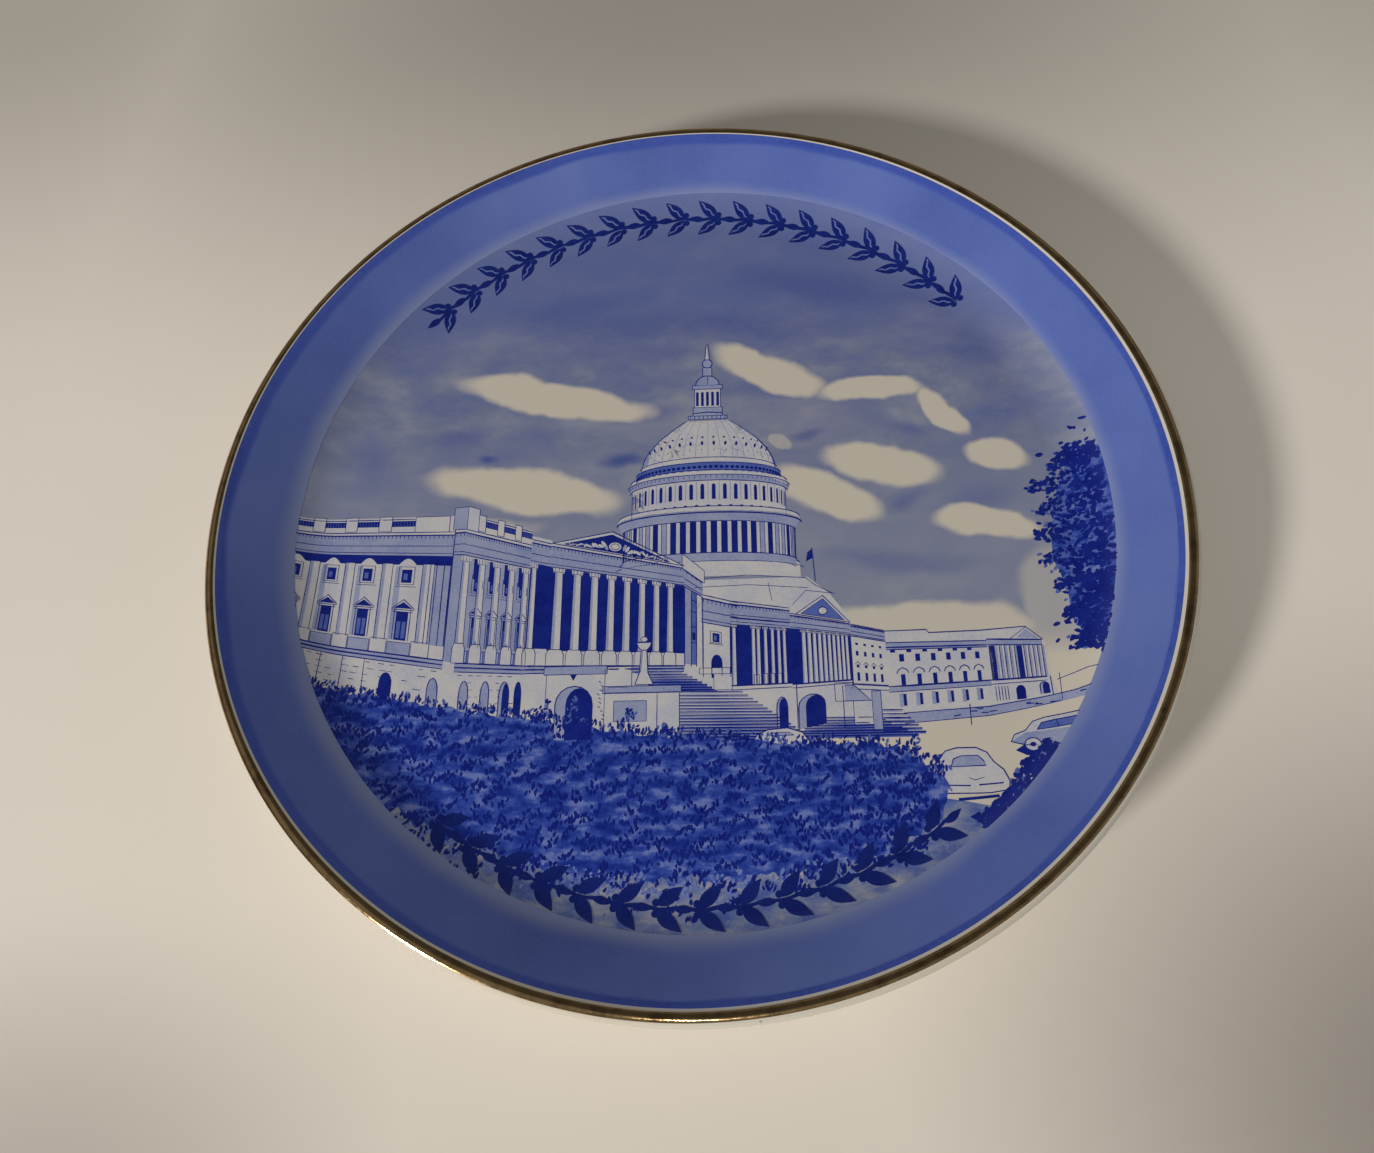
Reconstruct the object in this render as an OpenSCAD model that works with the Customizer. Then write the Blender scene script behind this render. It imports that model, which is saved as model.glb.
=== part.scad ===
// Souvenir plate: a shallow round porcelain dish that stands on a turned foot ring.
// The picture in the well is a fired transfer of a domed civic building behind a hedge.
// All sizes are in millimetres. The origin is on the plate's axis, level with the foot's resting face.

/* [Plate] */
// Radius of the plate at the outside of the lip
rim_r = 105; // [102:0.5:110]
// Height of the top of the lip above the table
rim_h = 20; // [19:0.25:22]
// Radius of the floor of the well, where the cove starts
floor_r = 80; // [78:0.5:81]
// How much lower the middle of the floor is than its edge
floor_sag = 0.6; // [0.3:0.1:1]
// Thickness of the floor, glaze included
floor_t = 4.6; // [4:0.1:5]

/* [Wall and lip] */
// Slope of the wall's face from the horizontal, in degrees
wall_slope = 32; // [30:0.5:34]
// Slope of the outer wall from the horizontal, in degrees
back_slope = 34; // [33:0.5:36]
// Radius of the cove between the floor and the wall
cove_r = 20; // [18:0.5:21]
// Radius of the rounded lip
lip_r = 1.75; // [1.6:0.05:1.9]
// Radius of the turn between the outer wall and the underside
heel_r = 22; // [20:0.5:24]
// Height of the underside where that turn ends
heel_h = 5.4; // [5.2:0.1:5.6]

/* [Foot ring] */
// Radius of the foot at the outer edge of its resting face
foot_r = 66; // [64:0.5:68]
// Width of the foot at its resting face
foot_w = 3.4; // [3:0.1:4]
// Taper of the foot's sides, in degrees
foot_taper = 10; // [6:1:14]
// Radius of the fillets where the foot meets the underside
foot_fillet = 2; // [1.5:0.1:2.2]
// Height at which the wiped glaze ends on the foot's sides
wiped_h = 0.9; // [0.7:0.1:1.2]

/* [Glaze and colours] */
// Thickness of the glaze coat
glaze_t = 0.3; // [0.2:0.05:0.4]
// Thickness of each coat of fired colour
colour_t = 0.12; // [0.1:0.01:0.15]
// Radius of the edge between the picture and the blue ground
picture_r = 89.5; // [88.5:0.1:90]
// Distance from the outside of the lip to the ground's outer edge
ground_inset = 3; // [2.8:0.1:3.2]
// Width of the dark line that ends the blue ground
edge_w = 1; // [0.8:0.1:1.2]
// Width of the white gap between the ground and the gold
gap_w = 0.65; // [0.5:0.05:0.8]
// Width of the gold line, measured round the lip
gold_w = 1.85; // [1.2:0.05:2]

/* [Picture] */
// Height of the ground line at the front corner of the building
ground_y = -44; // [-45:1:-43]
// Half width of the dome at its foot
dome_w = 15.8; // [14:0.2:17]
// Height of the dome above its drum
dome_h = 20; // [18:0.5:21]
// Distance of the dome's axis to the right of the plate's
dome_x = 3.4; // [2:0.2:5]

/* [Garlands] */
// Radius of the middle of both garlands
garland_r = 84; // [83:0.5:84.5]
// Half of the upper garland's sweep, in degrees
upper_sweep = 50; // [40:1:54]
// Half of the lower garland's sweep, in degrees
lower_sweep = 38; // [30:1:42]
// Number of sprigs in the upper garland
upper_sprigs = 18; // [10:1:20]
// Number of sprigs in the lower garland
lower_sprigs = 14; // [8:1:16]
// Length of one leaf
leaf_len = 6.4; // [5.5:0.1:6.8]
// Width of one leaf
leaf_w = 3; // [1.8:0.1:3.1]

/* [Hidden] */
$fn = 96;

// A station is a point of the glazed surface, as [radius, height, direction of travel in degrees].
// The outline runs from the middle of the face, over the lip, round the foot and back to the axis.
// Stations along an arc round c: a positive radius is a convex turn, and a negative one is hollow.
function arc(c, r, from, to, steps) = [for (i = [0:steps])
    let (a = from + (to - from) * i / steps) [c[0] - r * sin(a), c[1] + r * cos(a), a]];
// The same stations moved out along the surface's normal by k.
function lift(stations, k) = [for (s = stations) [max(0, s[0] - k * sin(s[2])), s[1] + k * cos(s[2])]];
function tail(list) = [for (i = [1:len(list) - 1]) list[i]];
function flip(list) = [for (i = [len(list) - 1:-1:0]) list[i]];

// The lip, and the point where the wall's face runs into it
lip_c = [rim_r - lip_r, rim_h - lip_r];
wall_top = [lip_c[0] - lip_r * sin(wall_slope), lip_c[1] + lip_r * cos(wall_slope)];
// The floor is a very flat bowl, and the cove is tangent to it
sag_r = (floor_r * floor_r + floor_sag * floor_sag) / (2 * floor_sag);
floor_slope = asin(floor_r / sag_r);
cove_end_r = floor_r + cove_r * (sin(wall_slope) - sin(floor_slope));
cove_end_h = wall_top[1] - (wall_top[0] - cove_end_r) * tan(wall_slope);
cove_c = [cove_end_r - cove_r * sin(wall_slope), cove_end_h + cove_r * cos(wall_slope)];
floor_h = cove_c[1] - cove_r * cos(floor_slope);
picture_slope = asin((picture_r - cove_c[0]) / cove_r);
// The gold starts a little way round the lip, after the white gap
edge_r = rim_r - ground_inset;
wall_gap = (wall_top[0] - edge_r) / cos(wall_slope);
gold_from = wall_slope - (gap_w - wall_gap) / lip_r * 180 / PI;
gold_to = gold_from - gold_w / lip_r * 180 / PI;
// The outer wall, the turn under it and the underside, which falls gently to the foot
back_end = back_slope - 180;
lip_end = [lip_c[0] - lip_r * sin(back_end), lip_c[1] + lip_r * cos(back_end)];
under_slope = 3;
heel_c_h = heel_h + heel_r * cos(under_slope);
heel_start_h = heel_c_h - heel_r * cos(back_slope);
heel_start_r = lip_end[0] - (lip_end[1] - heel_start_h) / tan(back_slope);
heel_c = [heel_start_r - heel_r * sin(back_slope), heel_c_h];
heel_end_r = heel_c[0] + heel_r * sin(under_slope);
// The foot ring: a flat resting face, two small rounded edges, two tapered sides and two fillets
edge_round = 0.6;
foot_low = -glaze_t;
foot_out_c = [foot_r, foot_low + edge_round];
foot_in_c = [foot_r - foot_w, foot_low + edge_round];
side_out = -90 - foot_taper;
side_in = -270 + foot_taper;
recess_h = floor_h - floor_sag - floor_t;
side_foot = [foot_r + edge_round * cos(foot_taper), foot_out_c[1] - edge_round * sin(foot_taper)];
side_in_foot = [foot_in_c[0] - edge_round * cos(foot_taper), side_foot[1]];
// Radius of the foot's two sides at height h
function side_out_r(h) = side_foot[0] + (h - side_foot[1]) * tan(foot_taper);
function side_in_r(h) = side_in_foot[0] - (h - side_in_foot[1]) * tan(foot_taper);
// Centres of the two fillets: one fillet radius away from the side and from the underside
fillet_reach = foot_fillet / cos(foot_taper);
fall = tan(under_slope);
fillet_out_h = (heel_h - heel_end_r * fall - foot_fillet / cos(under_slope)
    + fall * (side_out_r(0) + fillet_reach)) / (1 - fall * tan(foot_taper));
fillet_out_c = [side_out_r(fillet_out_h) + fillet_reach, fillet_out_h];
fillet_in_h = recess_h - foot_fillet;
fillet_in_c = [side_in_r(fillet_in_h) - fillet_reach, fillet_in_h];

// The outline, stretch by stretch
floor_line = arc([0, floor_h - floor_sag + sag_r], -sag_r, 0, floor_slope, 6);
cove_picture = arc(cove_c, -cove_r, floor_slope, picture_slope, 6);
cove_wall = arc(cove_c, -cove_r, picture_slope, wall_slope, 2);
function wall_at(r) = [r, wall_top[1] - (wall_top[0] - r) * tan(wall_slope), wall_slope];
edge_line_in = wall_at(edge_r - edge_w);
edge_line_out = wall_at(edge_r);
lip_gap = arc(lip_c, lip_r, wall_slope, gold_from, 2);
lip_gold = arc(lip_c, lip_r, gold_from, gold_to, 6);
lip_outside = arc(lip_c, lip_r, gold_to, back_end, 10);
heel = arc(heel_c, heel_r, back_end, under_slope - 180, 6);
fillet_out = arc(fillet_out_c, -foot_fillet, under_slope - 180, side_out, 6);
wiped_out = [side_out_r(wiped_h), wiped_h, side_out];
round_out = arc(foot_out_c, edge_round, side_out, -180, 4);
round_in = arc(foot_in_c, edge_round, -180, side_in, 4);
wiped_in = [side_in_r(wiped_h), wiped_h, side_in];
fillet_in = arc(fillet_in_c, -foot_fillet, side_in, -180, 6);
recess_mid = [0, recess_h, -180];

face_line = concat(floor_line, tail(cove_picture), tail(cove_wall), [edge_line_in, edge_line_out],
    lip_gap, tail(lip_gold), tail(lip_outside), heel, fillet_out, [wiped_out]);
whole_line = concat(face_line, round_out, round_in, [wiped_in], fillet_in, [recess_mid]);
picture_line = concat(floor_line, tail(cove_picture));

// A coat between two distances above the glaze's surface, turned round the plate's axis
module coat(stations, low, high) {
    rotate_extrude() polygon(concat(lift(stations, high), flip(lift(stations, low))));
}

// A patch of fired colour: a flat shape laid on the well, as the given coat of colour
module print(coat_number = 1) {
    intersection() {
        coat(picture_line, (coat_number - 1) * colour_t, coat_number * colour_t);
        linear_extrude(height = rim_h) children();
    }
}

// The transfer's shapes, in plan. Those that reach the picture's edge run on to this distance.
beyond = 95;

// An oval given by its middle, its half sizes and its tilt
module oval(x, y, w, h, tilt = 0, points = 16) {
    translate([x, y]) rotate(tilt)
        polygon([for (i = [0:points - 1]) [w * cos(360 * i / points), h * sin(360 * i / points)]]);
}

module dome_shape() {
    drum_foot = -18;
    drum_mid = -3;
    drum_top = 8;
    // Drum in two stages, the lower one wider
    translate([dome_x - dome_w - 3, drum_foot]) square([2 * dome_w + 6, drum_mid - drum_foot]);
    translate([dome_x - dome_w, drum_mid]) square([2 * dome_w, drum_top - drum_mid]);
    // The dome's own curve, from the drum to the lantern
    polygon([for (a = [0:10:180]) [dome_x + dome_w * cos(a), drum_top + (dome_h - 1) * sin(a)]]);
    // Lantern and finial
    translate([dome_x - 3, drum_top + dome_h - 3]) square([6, 10]);
    translate([dome_x - 1, drum_top + dome_h + 7]) square([2, 10]);
}

module building_shape() {
    dome_shape();
    // Long wing that runs in from the left edge, then the portico's gable
    polygon([[-beyond, 2], [-52, 3], [-28, 0], [-11, -3.5], [2, -14.5], [2, ground_y], [-30, ground_y],
        [-beyond, -30]]);
    // Central block with its own gable, stepping back to the right
    polygon([[1, -17], [20, -17], [28, -20.5], [40, -26], [40, ground_y], [1, ground_y]]);
    // Wing that runs away to the right
    polygon([[39, -26.5], [64, -27], [72, -29], [75, -31], [75, ground_y], [39, ground_y]]);
    // Flight of steps in front
    polygon([[-6, ground_y + 1], [30, ground_y + 1], [34, ground_y - 5], [-6, ground_y - 5]]);
}

module hedge_shape() {
    polygon([[-beyond, -31], [-60, -38], [-31, -45], [-7, -50], [36, -50.5], [44, -54], [47, -62],
        [46, -70], [20, -76], [-10, -78], [-45, -76], [-70, -66], [-beyond, -50]]);
}

module tree_shape() {
    polygon([[beyond, 18], [86, 14], [81, 9], [76, 0], [74, -12], [77, -20], [76, -28], [80, -36],
        [beyond, -34]]);
}

module clouds_shape() {
    oval(-32, 32, 22, 4, -10);
    oval(-38, 9, 21, 5, -8);
    oval(17, 38, 13, 3.5, -24);
    oval(47, 29, 16, 4, -10);
    oval(31, 5, 13, 3.5, -22);
    oval(43, 12, 13, 3.5, -12);
    oval(68, 13, 7, 2.8, -6);
    oval(65, -4, 11, 3.2, -2);
}

// Small parked cars on the pale drive, each a body with its cabin
module car_shape() {
    for (place = [[71, -51], [55, -59]])
        translate(place) {
            square([11, 3], center = true);
            translate([0, 2]) square([6, 2], center = true);
        }
}

module drive_shape() {
    polygon([[36, -50.5], [44, -54], [47, -62], [46, -70], [58, -beyond], [beyond, -60], [beyond, -40],
        [75, ground_y], [34, ground_y], [34, ground_y - 5]]);
}

module lawn_shape() {
    difference() {
        translate([-beyond, -beyond]) square([beyond + 58, beyond - 50]);
        hedge_shape();
        drive_shape();
    }
}

// One sprig of a garland: a pair of leaves that open out from the stem's line
module sprig() {
    leaf_back = -0.3;
    leaf_out = 2.4;
    leaf_tilt = 40;
    for (side = [1, -1])
        oval(leaf_back, side * leaf_out, leaf_len / 2, leaf_w / 2, side * leaf_tilt, 12);
}

// Sprigs repeated along an arc
module garland_shape(middle, sweep, sprigs) {
    for (i = [0:sprigs - 1])
        rotate(middle + sweep * (2 * (i + 0.5) / sprigs - 1)) translate([garland_r, 0]) rotate(90) sprig();
}

// ---- One module for each piece ----
module porcelain_body() {
    color("gainsboro") rotate_extrude() polygon(lift(whole_line, -glaze_t));
}

module main_glaze() {
    color("white") coat(face_line, -glaze_t, 0);
}

module base_glaze() {
    color("white") coat(concat([wiped_in], fillet_in, [recess_mid]), -glaze_t, 0);
}

module wall_ground() {
    color("royalblue") coat(concat(cove_wall, [edge_line_in]), 0, colour_t);
}

module edge_line() {
    color("navy") coat([edge_line_in, edge_line_out], 0, colour_t);
}

module gold_line() {
    color("goldenrod") coat(lip_gold, 0, colour_t);
}

module sky_print() {
    color("lightsteelblue") print() difference() {
        translate([-beyond, -55]) square([2 * beyond, 55 + beyond]);
        building_shape();
        hedge_shape();
        drive_shape();
        tree_shape();
        clouds_shape();
    }
}

module building_print() {
    color("slateblue") print() difference() {
        building_shape();
        hedge_shape();
    }
}

module hedge_print() {
    color("mediumblue") print() hedge_shape();
}

module tree_print() {
    color("mediumblue") print() tree_shape();
}

module car_print() {
    color("slateblue") print() car_shape();
}

module lawn_print() {
    color("lightsteelblue") print() lawn_shape();
}

module upper_garland() {
    color("midnightblue") print(2) garland_shape(90, upper_sweep, upper_sprigs);
}

module lower_garland() {
    color("midnightblue") print(2) garland_shape(-90, lower_sweep, lower_sprigs);
}

porcelain_body();
main_glaze();
base_glaze();
wall_ground();
edge_line();
gold_line();
sky_print();
building_print();
hedge_print();
tree_print();
car_print();
lawn_print();
upper_garland();
lower_garland();
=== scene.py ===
import math
import random

import bmesh
import bpy
from mathutils import Matrix, Vector


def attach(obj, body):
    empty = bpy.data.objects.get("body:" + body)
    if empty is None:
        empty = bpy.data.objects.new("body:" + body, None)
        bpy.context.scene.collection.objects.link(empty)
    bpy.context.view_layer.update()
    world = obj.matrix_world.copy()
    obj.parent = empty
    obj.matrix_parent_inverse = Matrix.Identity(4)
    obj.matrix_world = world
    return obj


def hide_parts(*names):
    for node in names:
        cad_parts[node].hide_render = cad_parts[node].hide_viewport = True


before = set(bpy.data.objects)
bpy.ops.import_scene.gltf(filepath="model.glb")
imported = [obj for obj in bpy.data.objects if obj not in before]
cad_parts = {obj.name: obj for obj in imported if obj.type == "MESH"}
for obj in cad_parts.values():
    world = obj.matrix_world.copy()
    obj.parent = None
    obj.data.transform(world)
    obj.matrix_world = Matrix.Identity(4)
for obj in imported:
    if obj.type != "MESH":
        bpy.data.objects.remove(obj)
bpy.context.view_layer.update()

mm = 0.001

# the plate's outline, as the CAD turns it
plate = {
    "rimRadius": 105, "rimHeight": 20, "floorRadius": 80, "floorSag": 0.6, "floorThickness": 4.6,
    "wallSlope": 32, "backSlope": 34, "coveRadius": 20, "lipRadius": 1.75,
    "heelRadius": 22, "heelHeight": 5.4, "underSlope": 3,
    "footRadius": 66, "footWidth": 3.4, "footTaper": 10, "footFillet": 2, "footRound": 0.6,
    "wipedHeight": 0.9, "glaze": 0.3, "pictureRadius": 89.5,
    "edgeRadius": 102, "edgeWidth": 1, "gap": 0.65, "goldWidth": 1.85,
    "around": 640,            # facets around each turned piece
}


def sinD(angle):
    return math.sin(math.radians(angle))


def cosD(angle):
    return math.cos(math.radians(angle))


def tanD(angle):
    return math.tan(math.radians(angle))


# a station is [radius, height, direction of travel]; a hollow turn has a negative radius
def arcStations(centre, radius, start, end, steps):
    stations = []
    for i in range(steps + 1):
        angle = start + (end - start) * i / steps
        stations.append((centre[0] - radius * sinD(angle), centre[1] + radius * cosD(angle), angle))
    return stations


def lift(stations, k):
    return [(max(0, r - k * sinD(a)), z + k * cosD(a)) for r, z, a in stations]


lipCentre = (plate["rimRadius"] - plate["lipRadius"], plate["rimHeight"] - plate["lipRadius"])
wallSlope = plate["wallSlope"]
wallTop = (lipCentre[0] - plate["lipRadius"] * sinD(wallSlope),
           lipCentre[1] + plate["lipRadius"] * cosD(wallSlope))
sagRadius = (plate["floorRadius"] ** 2 + plate["floorSag"] ** 2) / (2 * plate["floorSag"])
floorSlope = math.degrees(math.asin(plate["floorRadius"] / sagRadius))
coveEnd = plate["floorRadius"] + plate["coveRadius"] * (sinD(wallSlope) - sinD(floorSlope))
coveEndHeight = wallTop[1] - (wallTop[0] - coveEnd) * tanD(wallSlope)
coveCentre = (coveEnd - plate["coveRadius"] * sinD(wallSlope),
              coveEndHeight + plate["coveRadius"] * cosD(wallSlope))
floorHeight = coveCentre[1] - plate["coveRadius"] * cosD(floorSlope)
floorCentre = (0, floorHeight - plate["floorSag"] + sagRadius)
backEnd = plate["backSlope"] - 180


# the face at s: its radius as far as the lip, and from there the way round the lip
def faceAt(s):
    if s <= plate["floorRadius"]:
        angle = math.degrees(math.asin(s / sagRadius))
        return (s, floorCentre[1] - sagRadius * cosD(angle), angle)
    if s <= coveEnd:
        angle = math.degrees(math.asin((s - coveCentre[0]) / plate["coveRadius"]))
        return (s, coveCentre[1] - plate["coveRadius"] * cosD(angle), angle)
    if s <= wallTop[0]:
        return (s, wallTop[1] - (wallTop[0] - s) * tanD(wallSlope), wallSlope)
    angle = wallSlope - math.degrees((s - wallTop[0]) / plate["lipRadius"])
    return (lipCentre[0] - plate["lipRadius"] * sinD(angle),
            lipCentre[1] + plate["lipRadius"] * cosD(angle), angle)


def backStations():
    lipOut = arcStations(lipCentre, plate["lipRadius"], 0, backEnd, 1)[-1]
    under = plate["underSlope"]
    heelCentreHeight = plate["heelHeight"] + plate["heelRadius"] * cosD(under)
    startHeight = heelCentreHeight - plate["heelRadius"] * cosD(plate["backSlope"])
    startRadius = lipOut[0] - (lipOut[1] - startHeight) / tanD(plate["backSlope"])
    heelCentre = (startRadius - plate["heelRadius"] * sinD(plate["backSlope"]), heelCentreHeight)
    heelEndRadius = heelCentre[0] + plate["heelRadius"] * sinD(under)
    taper, fillet, rounding = plate["footTaper"], plate["footFillet"], plate["footRound"]
    low = -plate["glaze"]
    outCentre = (plate["footRadius"], low + rounding)
    inCentre = (plate["footRadius"] - plate["footWidth"], low + rounding)
    sideLow = outCentre[1] - rounding * sinD(taper)
    outSide = lambda h: outCentre[0] + rounding * cosD(taper) + (h - sideLow) * tanD(taper)
    inSide = lambda h: inCentre[0] - rounding * cosD(taper) - (h - sideLow) * tanD(taper)
    reach = fillet / cosD(taper)
    fall = tanD(under)
    outHeight = (plate["heelHeight"] - heelEndRadius * fall - fillet / cosD(under)
                 + fall * (outSide(0) + reach)) / (1 - fall * tanD(taper))
    recess = floorHeight - plate["floorSag"] - plate["floorThickness"]
    inHeight = recess - fillet
    heel = arcStations(heelCentre, plate["heelRadius"], backEnd, under - 180, 22)
    outFillet = arcStations((outSide(outHeight) + reach, outHeight), -fillet, under - 180, -90 - taper, 8)
    roundOut = arcStations(outCentre, rounding, -90 - taper, -180, 6)
    roundIn = arcStations(inCentre, rounding, -180, taper - 270, 6)
    inFillet = arcStations((inSide(inHeight) - reach, inHeight), -fillet, taper - 270, -180, 8)
    wiped = plate["wipedHeight"]
    return {
        "heel": heel, "outFillet": outFillet, "inFillet": inFillet,
        "wipedOut": [(outSide(wiped), wiped, -90 - taper)], "wipedIn": [(inSide(wiped), wiped, taper - 270)],
        "foot": roundOut + roundIn, "recess": [(30, recess, -180), (0, recess, -180)],
    }


def faceStations():
    spans = [(0, 78, 12), (78, coveEnd, 34), (coveEnd, wallTop[0], 8)]
    stations = []
    for start, end, steps in spans:
        stations += [faceAt(start + (end - start) * i / steps) for i in range(steps)]
    return stations + arcStations(lipCentre, plate["lipRadius"], wallSlope, backEnd, 26)


back = backStations()


# making turned pieces
def makeObject(name, verts, faces, smooth=True, creaseAngle=35):
    mesh = bpy.data.meshes.new(name)
    mesh.from_pydata(verts, [], faces)
    mesh.polygons.foreach_set("use_smooth", [smooth] * len(mesh.polygons))
    if smooth:
        mesh.set_sharp_from_angle(angle=math.radians(creaseAngle))
    mesh.update()
    piece = bpy.data.objects.new(name, mesh)
    bpy.context.scene.collection.objects.link(piece)
    return piece


def turn(name, outline):
    verts, faces, rings = [], [], []
    around = plate["around"]
    for r, z in outline:
        if r < 1e-6:
            rings.append([len(verts)])
            verts.append((0, 0, z * mm))
            continue
        rings.append(list(range(len(verts), len(verts) + around)))
        for k in range(around):
            angle = 2 * math.pi * k / around
            verts.append((r * mm * math.cos(angle), r * mm * math.sin(angle), z * mm))
    for first, second in zip(rings, rings[1:] + rings[:1]):
        for k in range(around):
            n = (k + 1) % around
            corners = [first[k % len(first)], first[n % len(first)],
                       second[n % len(second)], second[k % len(second)]]
            corners = list(dict.fromkeys(corners))
            if len(corners) > 2:
                faces.append(tuple(reversed(corners)))
    return makeObject(name, verts, faces)


# a thin fired band between two edges that may wander as they go round
def bandRing(name, innerEdge, outerEdge, steps, high, low=-0.02):
    around = plate["around"]
    verts, faces = [], []
    loop = 2 * (steps + 1)
    for k in range(around):
        angle = 2 * math.pi * k / around
        inner, outer = innerEdge(angle), outerEdge(angle)
        stations = [faceAt(inner + (outer - inner) * i / steps) for i in range(steps + 1)]
        for r, z in lift(stations, high) + lift(stations, low)[::-1]:
            verts.append((r * mm * math.cos(angle), r * mm * math.sin(angle), z * mm))
    for k in range(around):
        n = (k + 1) % around
        for i in range(loop):
            j = (i + 1) % loop
            faces.append((k * loop + i, k * loop + j, n * loop + j, n * loop + i))
    return makeObject(name, verts, faces)


# finishes
def newFinish(name):
    finish = bpy.data.materials.new(name)
    finish.use_nodes = True
    tree = finish.node_tree
    shader = tree.nodes["Principled BSDF"]
    coords = tree.nodes.new("ShaderNodeTexCoord").outputs["Object"]
    return finish, tree, shader, coords


def addNode(tree, kind, settings=None, **links):
    node = tree.nodes.new(kind)
    for key, value in (settings or {}).items():
        if key in node.inputs:
            node.inputs[key].default_value = value
        else:
            setattr(node, key, value)
    for key, source in links.items():
        slot = int(key[1:]) if key[0] == "i" and key[1:].isdigit() else key
        tree.links.new(source, node.inputs[slot])
    return node


def addNoise(tree, coords, scale, detail=3, roughness=0.5, stretch=None, turn=0):
    if stretch:
        mapped = addNode(tree, "ShaderNodeMapping",
                         {"Rotation": (0, 0, math.radians(turn)), "Scale": stretch}, Vector=coords)
        coords = mapped.outputs[0]
    node = addNode(tree, "ShaderNodeTexNoise", {"Scale": scale, "Detail": detail, "Roughness": roughness},
                   Vector=coords)
    return node.outputs["Fac"]


def addRamp(tree, source, stops):
    ramp = addNode(tree, "ShaderNodeValToRGB", Fac=source)
    elements = ramp.color_ramp.elements
    while len(elements) < len(stops):
        elements.new(0.5)
    for element, (place, colour) in zip(elements, stops):
        element.position = place
        element.color = (*colour, 1)
    return ramp.outputs["Color"]


def addRange(tree, source, low, high, start, end, smooth=False):
    kind = "SMOOTHSTEP" if smooth else "LINEAR"
    node = addNode(tree, "ShaderNodeMapRange", {"interpolation_type": kind, "From Min": low, "From Max": high,
                                                "To Min": start, "To Max": end}, Value=source)
    return node.outputs["Result"]


def addMath(tree, operation, first, second):
    node = tree.nodes.new("ShaderNodeMath")
    node.operation = operation
    for slot, source in enumerate((first, second)):
        if isinstance(source, (int, float)):
            node.inputs[slot].default_value = source
        else:
            tree.links.new(source, node.inputs[slot])
    return node.outputs[0]


def addMix(tree, factor, first, second):
    node = tree.nodes.new("ShaderNodeMix")
    node.data_type = "RGBA"
    for slot, source in ((0, factor), (6, first), (7, second)):
        if isinstance(source, (int, float)):
            node.inputs[slot].default_value = source
        elif isinstance(source, tuple):
            node.inputs[slot].default_value = (*source, 1)
        else:
            tree.links.new(source, node.inputs[slot])
    return node.outputs[2]


def addBump(tree, shader, height, strength, distance):
    bump = addNode(tree, "ShaderNodeBump", {"Strength": strength, "Distance": distance}, Height=height)
    tree.links.new(bump.outputs[0], shader.inputs["Normal"])


def setGloss(tree, shader, coords, low, high, scale=90):
    gloss = addNoise(tree, coords, scale, 4)
    tree.links.new(addRange(tree, gloss, 0.3, 0.7, low, high), shader.inputs["Roughness"])


glazeLook = {
    "white": (0.68, 0.625, 0.53), "warm": (0.655, 0.59, 0.485), "cool": (0.66, 0.63, 0.565),
    "rough": (0.09, 0.15), "peel": 0.10,
}


def glazeFinish(name, tint=1.0):
    finish, tree, shader, coords = newFinish(name)
    broad = addNoise(tree, coords, 16, 3)
    shade = lambda colour: tuple(channel * tint for channel in colour)
    colour = addRamp(tree, broad, [(0.3, shade(glazeLook["warm"])), (0.5, shade(glazeLook["white"])),
                                   (0.75, shade(glazeLook["cool"]))])
    specks = addRamp(tree, addNoise(tree, coords, 420, 2), [(0.74, (0, 0, 0)), (0.80, (1, 1, 1))])
    speckled = addMix(tree, specks, colour, (0.42, 0.36, 0.29))
    tree.links.new(speckled, shader.inputs["Base Color"])
    setGloss(tree, shader, coords, *glazeLook["rough"])
    shader.inputs["IOR"].default_value = 1.52
    addBump(tree, shader, addNoise(tree, coords, 330, 2), glazeLook["peel"], 0.00012)
    return finish


biscuitLook = {"clay": (0.72, 0.66, 0.56), "grit": (0.50, 0.43, 0.34),
               "bright": (0.78, 0.73, 0.64), "stain": (0.36, 0.31, 0.25), "rough": (0.62, 0.85)}


def biscuitFinish():
    finish, tree, shader, coords = newFinish("biscuitPorcelain")
    grit = addNoise(tree, coords, 2600, 5, 0.7)
    smear = addNoise(tree, coords, 60, 3, stretch=(1, 1, 6))
    colour = addRamp(tree, grit, [(0.30, biscuitLook["grit"]), (0.46, biscuitLook["clay"]),
                                  (0.8, biscuitLook["bright"])])
    stained = addMix(tree, addRange(tree, smear, 0.5, 0.75, 0, 0.35), colour, biscuitLook["stain"])
    tree.links.new(stained, shader.inputs["Base Color"])
    setGloss(tree, shader, coords, *biscuitLook["rough"], scale=900)
    addBump(tree, shader, grit, 0.35, 0.00008)
    return finish


groundLook = {
    "main": (0.105, 0.160, 0.50), "deep": (0.074, 0.120, 0.43), "thin": (0.140, 0.200, 0.545),
    "fringe": (0.250, 0.300, 0.52), "pool": (0.048, 0.092, 0.45),
    "fringeWidth": 3.4, "poolWidth": 1.1, "rough": (0.10, 0.17),
}


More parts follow.
